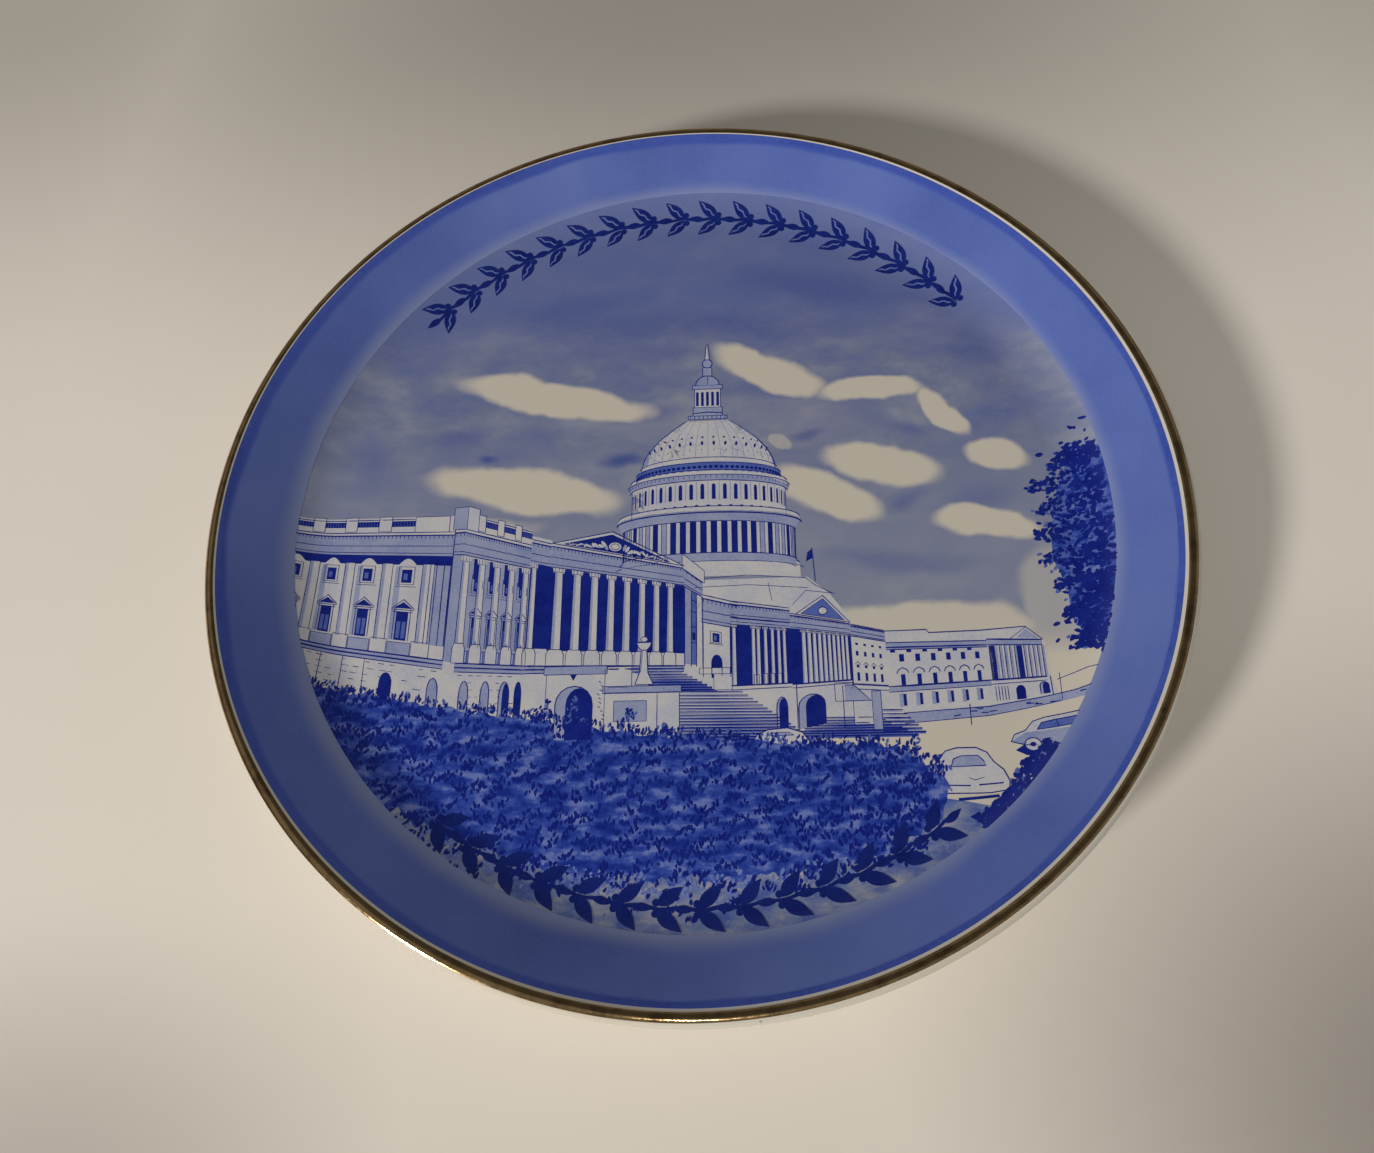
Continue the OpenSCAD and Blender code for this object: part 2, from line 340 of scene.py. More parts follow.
def groundFinish():
    finish, tree, shader, coords = newFinish("sprayedBlueGround")
    mapped = addNode(tree, "ShaderNodeMapping", {"Scale": (1, 1, 0)}, Vector=coords)
    reach = addNode(tree, "ShaderNodeVectorMath", {"operation": "LENGTH"}, i0=mapped.outputs[0])
    radius = reach.outputs["Value"]
    cloud = addNoise(tree, coords, 28, 4)
    spray = addNoise(tree, coords, 1500, 2, 0.6)
    body = addRamp(tree, cloud, [(0.3, groundLook["deep"]), (0.52, groundLook["main"]),
                                 (0.78, groundLook["thin"])])
    sprayed = addMix(tree, addRange(tree, spray, 0.35, 0.65, 0, 0.22), body, groundLook["thin"])
    wander = addMath(tree, "MULTIPLY", addMath(tree, "SUBTRACT", addNoise(tree, coords, 45, 3), 0.5), 0.0022)
    place = addMath(tree, "ADD", radius, wander)
    inner = plate["pictureRadius"] * mm
    outer = (plate["edgeRadius"] - plate["edgeWidth"]) * mm
    fringe = addRange(tree, place, inner - 0.0006, inner + groundLook["fringeWidth"] * mm, 0.9, 0, True)
    pool = addRange(tree, place, outer - groundLook["poolWidth"] * mm, outer, 0, 1, True)
    faded = addMix(tree, fringe, sprayed, groundLook["fringe"])
    pooled = addMix(tree, pool, faded, groundLook["pool"])
    tree.links.new(pooled, shader.inputs["Base Color"])
    setGloss(tree, shader, coords, *groundLook["rough"])
    shader.inputs["IOR"].default_value = 1.52
    addBump(tree, shader, addNoise(tree, coords, 300, 2), 0.12, 0.00012)
    return finish


# a fired print under the gloss of the glaze
def sinkPrint(tree, shader, coords, colour, rough=(0.11, 0.18)):
    tree.links.new(colour, shader.inputs["Base Color"])
    setGloss(tree, shader, coords, *rough)
    shader.inputs["IOR"].default_value = 1.52
    addBump(tree, shader, addNoise(tree, coords, 330, 2), 0.10, 0.00012)


# fired cobalt: dense where the colour is thick, and thinner in grains and clouds
def cobaltFinish(name, dense, thin, grain=2200, cloud=120):
    finish, tree, shader, coords = newFinish(name)
    grains = addMath(tree, "MULTIPLY", addNoise(tree, coords, grain, 2, 0.6), 0.45)
    clouds = addMath(tree, "MULTIPLY", addNoise(tree, coords, cloud, 4), 0.55)
    colour = addRamp(tree, addMath(tree, "ADD", grains, clouds), [(0.29, dense), (0.57, thin)])
    sinkPrint(tree, shader, coords, colour)
    return finish


# a blotchy hand-laid wash that runs from thick to thin colour
def washFinish(name, stops, scale, stretch):
    finish, tree, shader, coords = newFinish(name)
    blots = addMath(tree, "MULTIPLY", addNoise(tree, coords, scale, 4, 0.55, stretch=stretch), 0.85)
    grains = addMath(tree, "MULTIPLY", addNoise(tree, coords, 1900, 2, 0.6), 0.15)
    sinkPrint(tree, shader, coords, addRamp(tree, addMath(tree, "ADD", blots, grains), stops))
    return finish


goldLook = {"bright": (0.42, 0.28, 0.13), "worn": (0.22, 0.135, 0.07), "polished": (0.50, 0.35, 0.18),
            "rough": (0.07, 0.17)}


def goldFinish():
    finish, tree, shader, coords = newFinish("firedGold")
    wear = addNoise(tree, coords, 210, 5, 0.65)
    rub = addNoise(tree, coords, 900, 3, 0.6, stretch=(1, 1, 5))
    colour = addRamp(tree, wear, [(0.34, goldLook["worn"]), (0.52, goldLook["bright"]),
                                  (0.8, goldLook["polished"])])
    tree.links.new(colour, shader.inputs["Base Color"])
    shader.inputs["Metallic"].default_value = 1.0
    tree.links.new(addRange(tree, rub, 0.3, 0.7, *goldLook["rough"]), shader.inputs["Roughness"])
    addBump(tree, shader, rub, 0.25, 0.00003)
    return finish


def setPiece(piece, node, slot, finish):
    piece.data.materials.append(finish)
    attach(piece, "root")
    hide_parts(node)


# the turned pieces
def addTurnedPieces():
    body = faceStations() + back["heel"] + back["outFillet"] + back["wipedOut"]
    # the bare foot line is not glazed, so it stands out to the glaze's own surface
    bareOut = [station[:2] for station in back["wipedOut"]]
    bareIn = [station[:2] for station in back["wipedIn"]]
    foot = [(station[0], station[1] + plate["glaze"]) for station in back["foot"]]
    inside = back["wipedIn"] + back["inFillet"] + back["recess"]
    outline = lift(body, -plate["glaze"]) + bareOut + foot + bareIn + lift(inside, -plate["glaze"])
    clay = turn("porcelainBody", outline)
    skin = turn("mainGlaze", lift(body, 0) + lift(body, -plate["glaze"])[::-1])
    disc = turn("baseGlaze", lift(inside, 0) + lift(inside, -plate["glaze"])[::-1])
    for piece, node, slot, finish in (
            (clay, "porcelain_body", "biscuit_porcelain", biscuitFinish()),
            (skin, "main_glaze", "white_glaze", glazeFinish("whiteGlaze")),
            (disc, "base_glaze", "white_glaze", glazeFinish("whiteBaseGlaze", 0.97))):
        setPiece(piece, node, slot, finish)


# how the bands sit: each ring's centre is a little off the plate's, and the hand wandered
banding = {
    "pictureShift": (0.85, 0.70), "ringShift": (-0.42, 0.36), "gapShift": (-0.32, 0.21),
    "goldShift": (-0.50, 0.45), "wobble": 0.06,
    "groundHigh": 0.05, "edgeHigh": 0.065, "goldHigh": 0.055,
}


def wander(angle, shift, seed, wobble):
    offset = shift[0] * math.cos(angle) + shift[1] * math.sin(angle)
    wave = sum(math.sin(n * angle + seed * n * 1.7) / n for n in (2, 3, 5, 9, 17, 31))
    return offset + wobble * wave * 0.5


def addBands():
    ringAt = lambda s, seed: (lambda angle: s + wander(angle, banding["ringShift"], seed, banding["wobble"]))
    pictureEdge = lambda angle: plate["pictureRadius"] + wander(angle, banding["pictureShift"], 1, 0.03)
    edgeIn = ringAt(plate["edgeRadius"] - plate["edgeWidth"], 2)
    edgeOut = ringAt(plate["edgeRadius"], 3)
    goldStart = plate["edgeRadius"] + plate["gap"]
    goldEnd = goldStart + plate["goldWidth"]
    goldIn = lambda angle: goldStart - 0.20 + wander(angle, banding["gapShift"], 4, banding["wobble"])
    goldOut = lambda angle: goldEnd + wander(angle, banding["goldShift"], 5, banding["wobble"])
    overlap = lambda angle: edgeIn(angle) + 0.12
    ground = bandRing("wallGround", pictureEdge, overlap, 16, banding["groundHigh"])
    edge = bandRing("edgeLine", edgeIn, edgeOut, 5, banding["edgeHigh"])
    gold = bandRing("goldLine", goldIn, goldOut, 9, banding["goldHigh"])
    for piece, node, slot, finish in (
            (ground, "wall_ground", "blue_ground", groundFinish()),
            (edge, "edge_line", "pooled_cobalt", cobaltFinish("pooledCobalt", (0.028, 0.062, 0.37),
                                                               (0.055, 0.102, 0.46), 900, 60)),
            (gold, "gold_line", "fired_gold", goldFinish())):
        setPiece(piece, node, slot, finish)


# laying a print on the well
ink = {
    "step": 0.0085,           # thickness of one layer of colour
    "floorFacet": 6.0, "coveFacet": 0.85,
    "edgeOverlap": 0.25,      # how far the print runs under the ground's edge
}
clipRadius = plate["pictureRadius"] + ink["edgeOverlap"]
clipCentre = banding["pictureShift"]
clipSides = 300


def clipToWell(points):
    far = max(math.hypot(x - clipCentre[0], y - clipCentre[1]) for x, y in points)
    if far < clipRadius * math.cos(math.pi / clipSides):
        return points
    for k in range(clipSides):
        angle = 2 * math.pi * k / clipSides
        nx, ny = math.cos(angle), math.sin(angle)
        depths = [(x - clipCentre[0]) * nx + (y - clipCentre[1]) * ny - clipRadius for x, y in points]
        if max(depths) <= 0:
            continue
        kept = []
        for i, (point, depth) in enumerate(zip(points, depths)):
            before, depthBefore = points[i - 1], depths[i - 1]
            if (depth > 0) != (depthBefore > 0):
                t = depthBefore / (depthBefore - depth)
                kept.append((before[0] + (point[0] - before[0]) * t, before[1] + (point[1] - before[1]) * t))
            if depth <= 0:
                kept.append(point)
        points = kept
        if len(points) < 3:
            return []
    return points


def polygonArea(points):
    return sum(points[i - 1][0] * p[1] - p[0] * points[i - 1][1] for i, p in enumerate(points)) / 2


def facetLimit(x, y):
    return ink["coveFacet"] if math.hypot(x, y) > plate["floorRadius"] - 1 else ink["floorFacet"]


# patches: (finish number, layer, outline in mm); each becomes a closed skin on the face
def layPrint(name, node, patches, finishes):
    flat = bmesh.new()
    layers = flat.faces.layers.float.new("coat")
    for finish, layer, points in patches:
        points = clipToWell(points)
        tidy = [p for i, p in enumerate(points) if math.dist(p, points[i - 1]) > 0.004]
        if len(tidy) < 3 or abs(polygonArea(tidy)) < 0.002:
            continue
        if polygonArea(tidy) < 0:
            tidy.reverse()
        face = flat.faces.new([flat.verts.new((x, y, 0)) for x, y in tidy])
        face.material_index = finish
        face[layers] = layer
    flat.normal_update()
    bmesh.ops.triangulate(flat, faces=[f for f in flat.faces if len(f.verts) > 3])
    for _ in range(12):
        long = []
        for edge in flat.edges:
            a, b = edge.verts[0].co, edge.verts[1].co
            middle = (a + b) / 2
            limit = min(facetLimit(a.x, a.y), facetLimit(b.x, b.y), facetLimit(middle.x, middle.y))
            if (a - b).length > limit:
                long.append(edge)
        if not long:
            break
        bmesh.ops.subdivide_edges(flat, edges=long, cuts=1)
        bmesh.ops.triangulate(flat, faces=[f for f in flat.faces if len(f.verts) > 3])
    verts, faces, marks = [], [], []
    flat.verts.ensure_lookup_table()
    flat.verts.index_update()
    layerOf = {}
    for face in flat.faces:
        for vert in face.verts:
            layerOf[vert.index] = face[layers]
    count = len(flat.verts)
    for height in (None, -0.01):
        for vert in flat.verts:
            radius = math.hypot(vert.co.x, vert.co.y)
            r, z, a = faceAt(radius)
            k = ink["step"] * (layerOf[vert.index] + 1) if height is None else height
            scale = (r - k * sinD(a)) / radius if radius > 0.01 else 1
            verts.append((vert.co.x * scale * mm, vert.co.y * scale * mm, (z + k * cosD(a)) * mm))
    for face in flat.faces:
        corners = [v.index for v in face.verts]
        faces.append(corners)
        faces.append([c + count for c in reversed(corners)])
        marks += [face.material_index] * 2
        for loop in face.loops:
            if len(loop.edge.link_faces) == 1:
                a, b = loop.vert.index, loop.link_loop_next.vert.index
                faces.append([b, a, a + count, b + count])
                marks.append(face.material_index)
    flat.free()
    piece = makeObject(name, verts, faces, smooth=False)
    for finish in finishes:
        piece.data.materials.append(finish)
    piece.data.polygons.foreach_set("material_index", marks)
    tops = [len(face) == 3 for face in faces]
    piece.data.polygons.foreach_set("use_smooth", tops)
    piece.data.set_sharp_from_angle(angle=math.radians(20))
    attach(piece, "root")
    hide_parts(node)
    print(name, "laid:", len(patches), "patches,", len(faces), "faces")


# dabs that overlap get slightly different heights, so no two lie in one plane
def dabLayer(layer, count):
    return layer + 0.07 * (count % 13)


# a pen line of the given width through the points, a little uneven like a printed one
def penLine(points, width, ends=0.75, rng=random.Random(5)):
    left, right = [], []
    for i, (x, y) in enumerate(points):
        before = points[max(0, i - 1)]
        after = points[min(len(points) - 1, i + 1)]
        dx, dy = after[0] - before[0], after[1] - before[1]
        size = math.hypot(dx, dy) or 1
        half = width / 2 * rng.uniform(0.82, 1.15)
        if i in (0, len(points) - 1):
            half *= ends
        left.append((x - dy / size * half, y + dx / size * half))
        right.append((x + dy / size * half, y - dx / size * half))
    return left + right[::-1]


def oval(x, y, w, h, tilt=0, sides=12):
    points = []
    for i in range(sides):
        angle = 2 * math.pi * i / sides
        u, v = w * math.cos(angle), h * math.sin(angle)
        points.append((x + u * cosD(tilt) - v * sinD(tilt), y + u * sinD(tilt) + v * cosD(tilt)))
    return points


# the sky
sky = {
    "wash": (0.195, 0.225, 0.385), "deep": (0.120, 0.158, 0.385), "light": (0.315, 0.335, 0.430),
    "smudge": (0.050, 0.085, 0.35), "top": (0.115, 0.158, 0.420),
    # clouds: middle, half sizes, tilt, strength, all in mm and degrees
    "clouds": [(-32, 32.5, 24, 4.6, -13, 1), (-38, 8, 23, 5.6, -10, 1), (18, 38.2, 14, 4.6, -27, 1),
               (41, 31.5, 12, 3.4, 2, 1), (57, 25.5, 8, 3.2, -52, 1), (30, 5, 13, 5.2, -26, 1),
               (43, 11.6, 13.5, 4.6, -13, 1), (68, 13, 7.4, 4, -12, 1), (64.5, -4, 11.5, 3.8, -8, 1),
               (20, 18.5, 3.4, 2.2, -20, 0.55), (50, -27, 23, 5.4, -4, 0.95), (-64, -2.5, 30, 3.2, 3, 0.55),
               (77, -24, 8, 14, 0, 0.5), (10, 24, 30, 8, 0, 0.12)],
    "smudges": [(-55, 22, 9, 3.5, 5, 0.6), (-8, 27, 9, 2.4, 4, 0.6), (27, 20, 5.5, 1.9, 5, 0.95),
                (-47, 17, 3.5, 1.6, 0, 0.8),
                (30, 62, 34, 7, -12, 0.5), (-30, 58, 28, 6, 10, 0.35), (66, 40, 12, 8, -50, 0.4),
                (48, 3, 7, 3.2, 20, 0.5), (-76, 18, 7, 12, 10, 0.3), (44, -12, 22, 3.2, -6, 0.35),
                (-3, 44, 14, 3, -8, 0.25), (50, 20, 7, 2.2, -10, 0.4),
                (-4, 52, 60, 6, -3, 0.35), (-16, 14.6, 7, 2.2, 0, 0.9), (64, 2, 10, 4, 10, 0.3)],
    "fadeTop": -28, "fadeEnd": -36,
}


def addOvals(tree, coords, ovals, soft):
    total = None
    for x, y, w, h, tilt, strength in ovals:
        turned = addNode(tree, "ShaderNodeMapping", {
            "vector_type": "TEXTURE", "Location": (x * mm, y * mm, 0),
            "Rotation": (0, 0, math.radians(tilt)), "Scale": (w * mm, h * mm, 1)}, Vector=coords)
        reach = addNode(tree, "ShaderNodeVectorMath", {"operation": "LENGTH"}, i0=turned.outputs[0])
        mask = addRange(tree, reach.outputs["Value"], soft, 1.14, strength, 0, True)
        total = mask if total is None else addMath(tree, "MAXIMUM", total, mask)
    return total


def skyFinish():
    finish, tree, shader, coords = newFinish("airbrushedSky")
    level = addNode(tree, "ShaderNodeMapping", {"Scale": (1, 1, 0)}, Vector=coords).outputs[0]
    ripple = addNode(tree, "ShaderNodeTexNoise", {"Scale": 75, "Detail": 3}, Vector=level).outputs["Color"]
    centred = addNode(tree, "ShaderNodeVectorMath", {"operation": "SUBTRACT"}, i0=ripple)
    centred.inputs[1].default_value = (0.5, 0.5, 0.5)
    small = addNode(tree, "ShaderNodeVectorMath", {"operation": "SCALE", "Scale": 0.006},
                    i0=centred.outputs[0])
    bent = addNode(tree, "ShaderNodeVectorMath", {"operation": "ADD"}, i0=level, i1=small.outputs[0])
    flatBent = addNode(tree, "ShaderNodeMapping", {"Scale": (1, 1, 0)}, Vector=bent.outputs[0]).outputs[0]
    strokes = addNoise(tree, flatBent, 70, 5, 0.6, stretch=(0.75, 1.35, 1), turn=24)
    patches = addNoise(tree, flatBent, 30, 4, 0.55, stretch=(0.8, 1.3, 1), turn=-12)
    grain = addNoise(tree, level, 1700, 2, 0.6)
    split = addNode(tree, "ShaderNodeSeparateXYZ", Vector=bent.outputs[0])
    wash = addRamp(tree, strokes, [(0.30, sky["deep"]), (0.50, sky["wash"]), (0.70, sky["light"])])
    wash = addMix(tree, addRange(tree, patches, 0.47, 0.66, 0, 0.55), wash, sky["deep"])
    high = addRange(tree, split.outputs["Y"], 38 * mm, 62 * mm, 0, 0.75, True)
    wash = addMix(tree, high, wash, sky["top"])
    low = addRange(tree, split.outputs["Y"], -10 * mm, 34 * mm, 0.6, 0, True)
    wash = addMix(tree, low, wash, sky["light"])
    smudged = addMix(tree, addOvals(tree, flatBent, sky["smudges"], 0.1), wash, sky["smudge"])
    grained = addMix(tree, addRange(tree, grain, 0.3, 0.7, 0, 0.12), smudged, sky["light"])
    clouded = addMix(tree, addOvals(tree, flatBent, sky["clouds"], 0.80), grained, glazeLook["white"])
    fade = addRange(tree, split.outputs["Y"], sky["fadeEnd"] * mm, sky["fadeTop"] * mm, 1, 0, True)
    final = addMix(tree, fade, clouded, glazeLook["white"])
    sinkPrint(tree, shader, coords, final)
    return finish


def addSky():
    around = 150
    edge = [(clipCentre[0] + clipRadius * math.cos(2 * math.pi * i / around),
             clipCentre[1] + clipRadius * math.sin(2 * math.pi * i / around)) for i in range(around)]
    layPrint("skyPrint", "sky_print", [(0, 0, edge)], [skyFinish()])


# the building
tone = {"white": 0, "pale": 1, "mid": 2, "dark": 3, "leafLight": 4, "hedgeWash": 5, "lawnWash": 6}
penWidth = {"fine": 0.16, "pen": 0.22, "bold": 0.34}
# each front: [x, string course, parapet top] at its left and right ends
fronts = {
    "leftWing": ((-93, -26.6, 2.0), (-53.2, -32.7, 2.3)),
    "pavilionEnd": ((-53.2, -32.8, 2.9), (-50.6, -33.2, 3.1)),
    "pavilion": ((-50.6, -33.3, 3.0), (-35.6, -34.3, -1.9)),
    "porticoReturn": ((-35.6, -34.3, -3.6), (-31, -34.4, -4.9)),
    "portico": ((-31, -34.4, -5.6), (-1.6, -35, -12.0)),
    "porticoEnd": ((-1.6, -35, -12.4), (2.4, -35.4, -15.6)),
    "link": ((2.4, -37.6, -19), (9, -38.2, -20.8)),
    "centre": ((8.2, -39.6, -20.6), (20.8, -39.3, -22.6)),
    "centrePortico": ((20.8, -39.6, -23.8), (33.2, -38.9, -26.2)),
    "rightLink": ((33.2, -39.8, -26.6), (40.4, -40.4, -28.3)),
    "rightWing": ((40.4, -40.6, -30.9), (61, -39.7, -31.0)),
    "rightPavilion": ((61, -39.7, -30.8), (72.2, -39.2, -31.2)),
}
# heights as shares of a front, from the string course up to the parapet
storey = {"cornice": 0.875, "architrave": 0.70, "shade": 0.655, "columnTop": 0.66, "columnFoot": 0.125}


def frontAt(name):
    (x0, low0, top0), (x1, low1, top1) = fronts[name]
    near0, near1 = 1 / (top0 - low0), 1 / (top1 - low1)

    def at(t, s):
        weight = near0 * (1 - t) + near1 * t
        blend = lambda a, b: (a * near0 * (1 - t) + b * near1 * t) / weight
        low, top = blend(low0, low1), blend(top0, top1)
        return (blend(x0, x1), low + s * (top - low))
    return at


class Drawing:
    def __init__(self):
        self.patches = []

    def fill(self, shade, layer, points):
        self.patches.append((tone[shade], layer, points))

    def panel(self, at, t0, t1, s0, s1, shade="white", layer=2):
        steps = 4
        low = [at(t0 + (t1 - t0) * i / steps, s0) for i in range(steps + 1)]
        high = [at(t0 + (t1 - t0) * i / steps, s1) for i in range(steps + 1)]
        self.fill(shade, layer, low + high[::-1])

    def line(self, points, width="pen", layer=6, shade="dark"):
        size = penWidth[width] if isinstance(width, str) else width
        self.fill(shade, layer, penLine(points, size))

    def along(self, at, s, t0=0, t1=1, width="pen", layer=6, shade="dark"):
        steps = 8
        self.line([at(t0 + (t1 - t0) * i / steps, s) for i in range(steps + 1)], width, layer, shade)

    def up(self, at, t, s0, s1, width="pen", layer=6, shade="dark"):
        self.line([at(t, s0), at(t, (s0 + s1) / 2), at(t, s1)], width, layer, shade)

    def box(self, at, t0, t1, s0, s1, shade="white", layer=5, width="fine"):
        self.panel(at, t0, t1, s0, s1, shade, layer)
        corners = [at(t0, s0), at(t1, s0), at(t1, s1), at(t0, s1), at(t0, s0)]
        for first, second in zip(corners, corners[1:]):
            self.line([first, second], width, layer + 1)

    def arch(self, at, t, half, s0, s1, shade="dark", layer=4, rim=True, depth=0.0):
        spring = s1 - (s1 - s0) * 0.35
        points = [at(t - half, s0), at(t + half, s0)]
        for i in range(9):
            angle = 180 * i / 8
            points.append(at(t + half * cosD(angle), spring + (s1 - spring) * sinD(angle)))
        if depth:
            self.fill("pale", layer, points)
            inner = [at(t - half + depth, s0), at(t + half, s0)]
            for i in range(9):
                angle = 180 * i / 8
                reach = half - depth / 2
                inner.append(at(t + depth / 2 + reach * cosD(angle),
                                spring + (s1 - spring) * 0.9 * sinD(angle)))
            self.fill(shade, layer + 1, inner)
        else:
            self.fill(shade, layer, points)
        if rim:
            self.line(points[1:] + points[:1], "pen", layer + 2)

    def dashes(self, at, s, count, t0=0, t1=1, length=0.02, width=0.2, layer=6):
        for i in range(count):
            t = t0 + (t1 - t0) * (i + 0.5) / count
            self.line([at(t, s), at(t, s - length)], width, layer)

    def parapet(self, at, blocks, t0=0, t1=1, foot=None, layer=5, bars=7):
        foot = storey["cornice"] if foot is None else foot
        top = 0.975
        pitch = (t1 - t0) / blocks
        for i in range(blocks):
            start = t0 + i * pitch
            self.panel(at, start + 0.36 * pitch, start + pitch, foot + 0.045, top - 0.012, "dark", layer)
            for j in range(bars):
                t = start + (0.40 + 0.58 * (j + 0.5) / bars) * pitch
                self.line([at(t, foot + 0.05), at(t, top - 0.02)], 0.14, layer + 1, "mid")
            self.box(at, start, start + 0.36 * pitch, foot + 0.01, top + 0.022, "white", layer + 1)
        self.along(at, top, t0, t1, "pen", layer + 1)

    def entablature(self, at, t0=0, t1=1, teeth=40, foot=None, top=None):
        top = storey["cornice"] if top is None else top
        foot = storey["architrave"] if foot is None else foot
        tall = top - foot
        self.panel(at, t0, t1, foot, top - tall * 0.12, "pale", 3)
        self.panel(at, t0, t1, top - tall * 0.14, top, "white", 4)
        self.along(at, top, t0, t1, "pen")
        self.along(at, top - tall * 0.13, t0, t1, "bold")
        self.dashes(at, top - tall * 0.15, teeth, t0, t1, tall * 0.12, 0.17)
        self.along(at, foot + tall * 0.42, t0, t1, "fine")
        self.along(at, foot + tall * 0.12, t0, t1, "fine")
        self.along(at, foot, t0, t1, "pen")

    def column(self, at, t, half, foot=None, top=None, shade="left", layer=5):
        foot = storey["columnFoot"] if foot is None else foot
        top = storey["columnTop"] if top is None else top
        cap = (top - foot) * 0.055
        slim = 0.84
        shaft = [at(t - half, foot), at(t + half, foot), at(t + half * slim, top), at(t - half * slim, top)]
        self.fill("white", layer, shaft)
        side = -1 if shade == "left" else 1
        strip = [at(t + side * half, foot), at(t + side * half * 0.30, foot),
                 at(t + side * half * 0.30, top), at(t + side * half * slim, top)]
        self.fill("pale", layer + 1, strip)
        self.line([shaft[0], shaft[3]], "pen", layer + 2)
        self.line([shaft[1], shaft[2]], "fine", layer + 2)
        head = [at(t - half * 1.2, top - cap * 0.2), at(t + half * 1.2, top - cap * 0.2),
                at(t + half * 1.3, top + cap), at(t - half * 1.3, top + cap)]
        self.fill("white", layer + 1, head)
        self.line([at(t - half * 1.25, top), at(t + half * 1.25, top)], "fine", layer + 2)
        for k in (-0.8, 0, 0.8):
            self.line([at(t + half * k, top + cap * 0.2), at(t + half * k, top + cap * 0.9)], 0.15, layer + 2)

    def pedestal(self, at, t, half, foot=0.0, top=None, layer=5):
        top = storey["columnFoot"] if top is None else top
        neck = foot + (top - foot) * 0.72
        points = [at(t - half, foot), at(t + half, foot), at(t + half, neck), at(t + half * 0.72, top),
                  at(t - half * 0.72, top), at(t - half, neck)]
        self.fill("white", layer, points)
        self.line(points + points[:1], "fine", layer + 1)
        self.line([at(t - half * 0.72, top), at(t + half * 0.72, top)], "pen", layer + 1)

    def tallWindow(self, at, t, half, foot=0.10, top=0.30, gable=0.385, layer=4):
        self.panel(at, t - half, t + half, foot, top, "dark", layer)
        self.panel(at, t - half * 0.75, t - half * 0.12, foot + 0.015, top - 0.07, "mid", layer + 1)
        self.panel(at, t + half * 0.12, t + half * 0.75, foot + 0.015, top - 0.07, "mid", layer + 1)
        self.up(at, t - half * 1.35, foot, top + 0.01, "fine")
        self.up(at, t + half * 1.35, foot, top + 0.01, "fine")
        wide = half * 1.9
        self.fill("dark", layer, [at(t - wide * 0.85, top + 0.022), at(t + wide * 0.85, top + 0.022),
                                  at(t, gable - 0.018)])
        self.line([at(t - wide, top + 0.02), at(t, gable), at(t + wide, top + 0.02)], "pen", layer + 2)
        self.line([at(t - wide, top + 0.012), at(t + wide, top + 0.012)], "pen", layer + 2)
        self.line([at(t - wide * 0.9, top - 0.004), at(t + wide * 0.9, top - 0.004)], "fine", layer + 2)

    def smallWindow(self, at, t, half, foot=0.505, top=0.60, layer=4):
        self.panel(at, t - half, t + half, foot, top, "dark", layer)
        self.panel(at, t - half * 0.6, t + half * 0.2, foot + 0.02, top - 0.03, "mid", layer + 1)
        corners = [at(t - half * 1.6, foot - 0.012), at(t + half * 1.5, foot - 0.012),
                   at(t + half * 1.5, top + 0.02), at(t - half * 1.6, top + 0.02),
                   at(t - half * 1.6, foot - 0.012)]
        self.line(corners, "fine", layer + 1)
        self.line([at(t - half * 2, foot - 0.028), at(t + half * 2, foot - 0.028)], "fine", layer + 1)

    def stringCourse(self, at, t0=0, t1=1):
        self.panel(at, t0, t1, -0.055, 0.0, "pale", 5)
        self.along(at, 0.0, t0, t1, "bold", 6)
        self.along(at, -0.027, t0, t1, "bold", 6)
        self.along(at, -0.054, t0, t1, "pen", 6)

    def basement(self, at, rng, rows, columns, t0=0, t1=1, foot=-0.46):
        self.panel(at, t0, t1, foot, -0.05, "white", 2)
        tall = (-0.06 - foot) / rows
        for row in range(rows):
            s = -0.075 - row * tall
            for column in range(columns):
                t = t0 + (t1 - t0) * (column + rng.uniform(0.1, 0.6)) / columns
                length = (t1 - t0) / columns * rng.uniform(0.25, 0.62)
                if rng.random() < 0.72:
                    self.line([at(t, s), at(min(t1, t + length), s)], rng.choice([0.12, 0.16, 0.2]), 4)

    def gable(self, at, t0, t1, apexT, base, rise, layer=5):
        left, right = at(t0, base), at(t1, base)
        middle = at(apexT, base)
        apex = (middle[0], middle[1] + rise)
        self.fill("white", layer - 1, [left, right, apex])
        rest = [a * 0.32 + m * 0.68 for a, m in zip(apex, middle)]      # the point the panel shrinks to
        inner = [tuple(r + (v - r) * 0.80 for v, r in zip(p, rest)) for p in (left, right, apex)]
        self.fill("pale", layer, inner)
        self.line([left, apex, right], "pen", layer + 2)
        self.line([inner[0], inner[2], inner[1], inner[0]], "fine", layer + 2)
        self.line([left, right], "pen", layer + 2)
        centre = tuple(sum(p[axis] for p in inner) / 3 for axis in (0, 1))
        return centre, inner


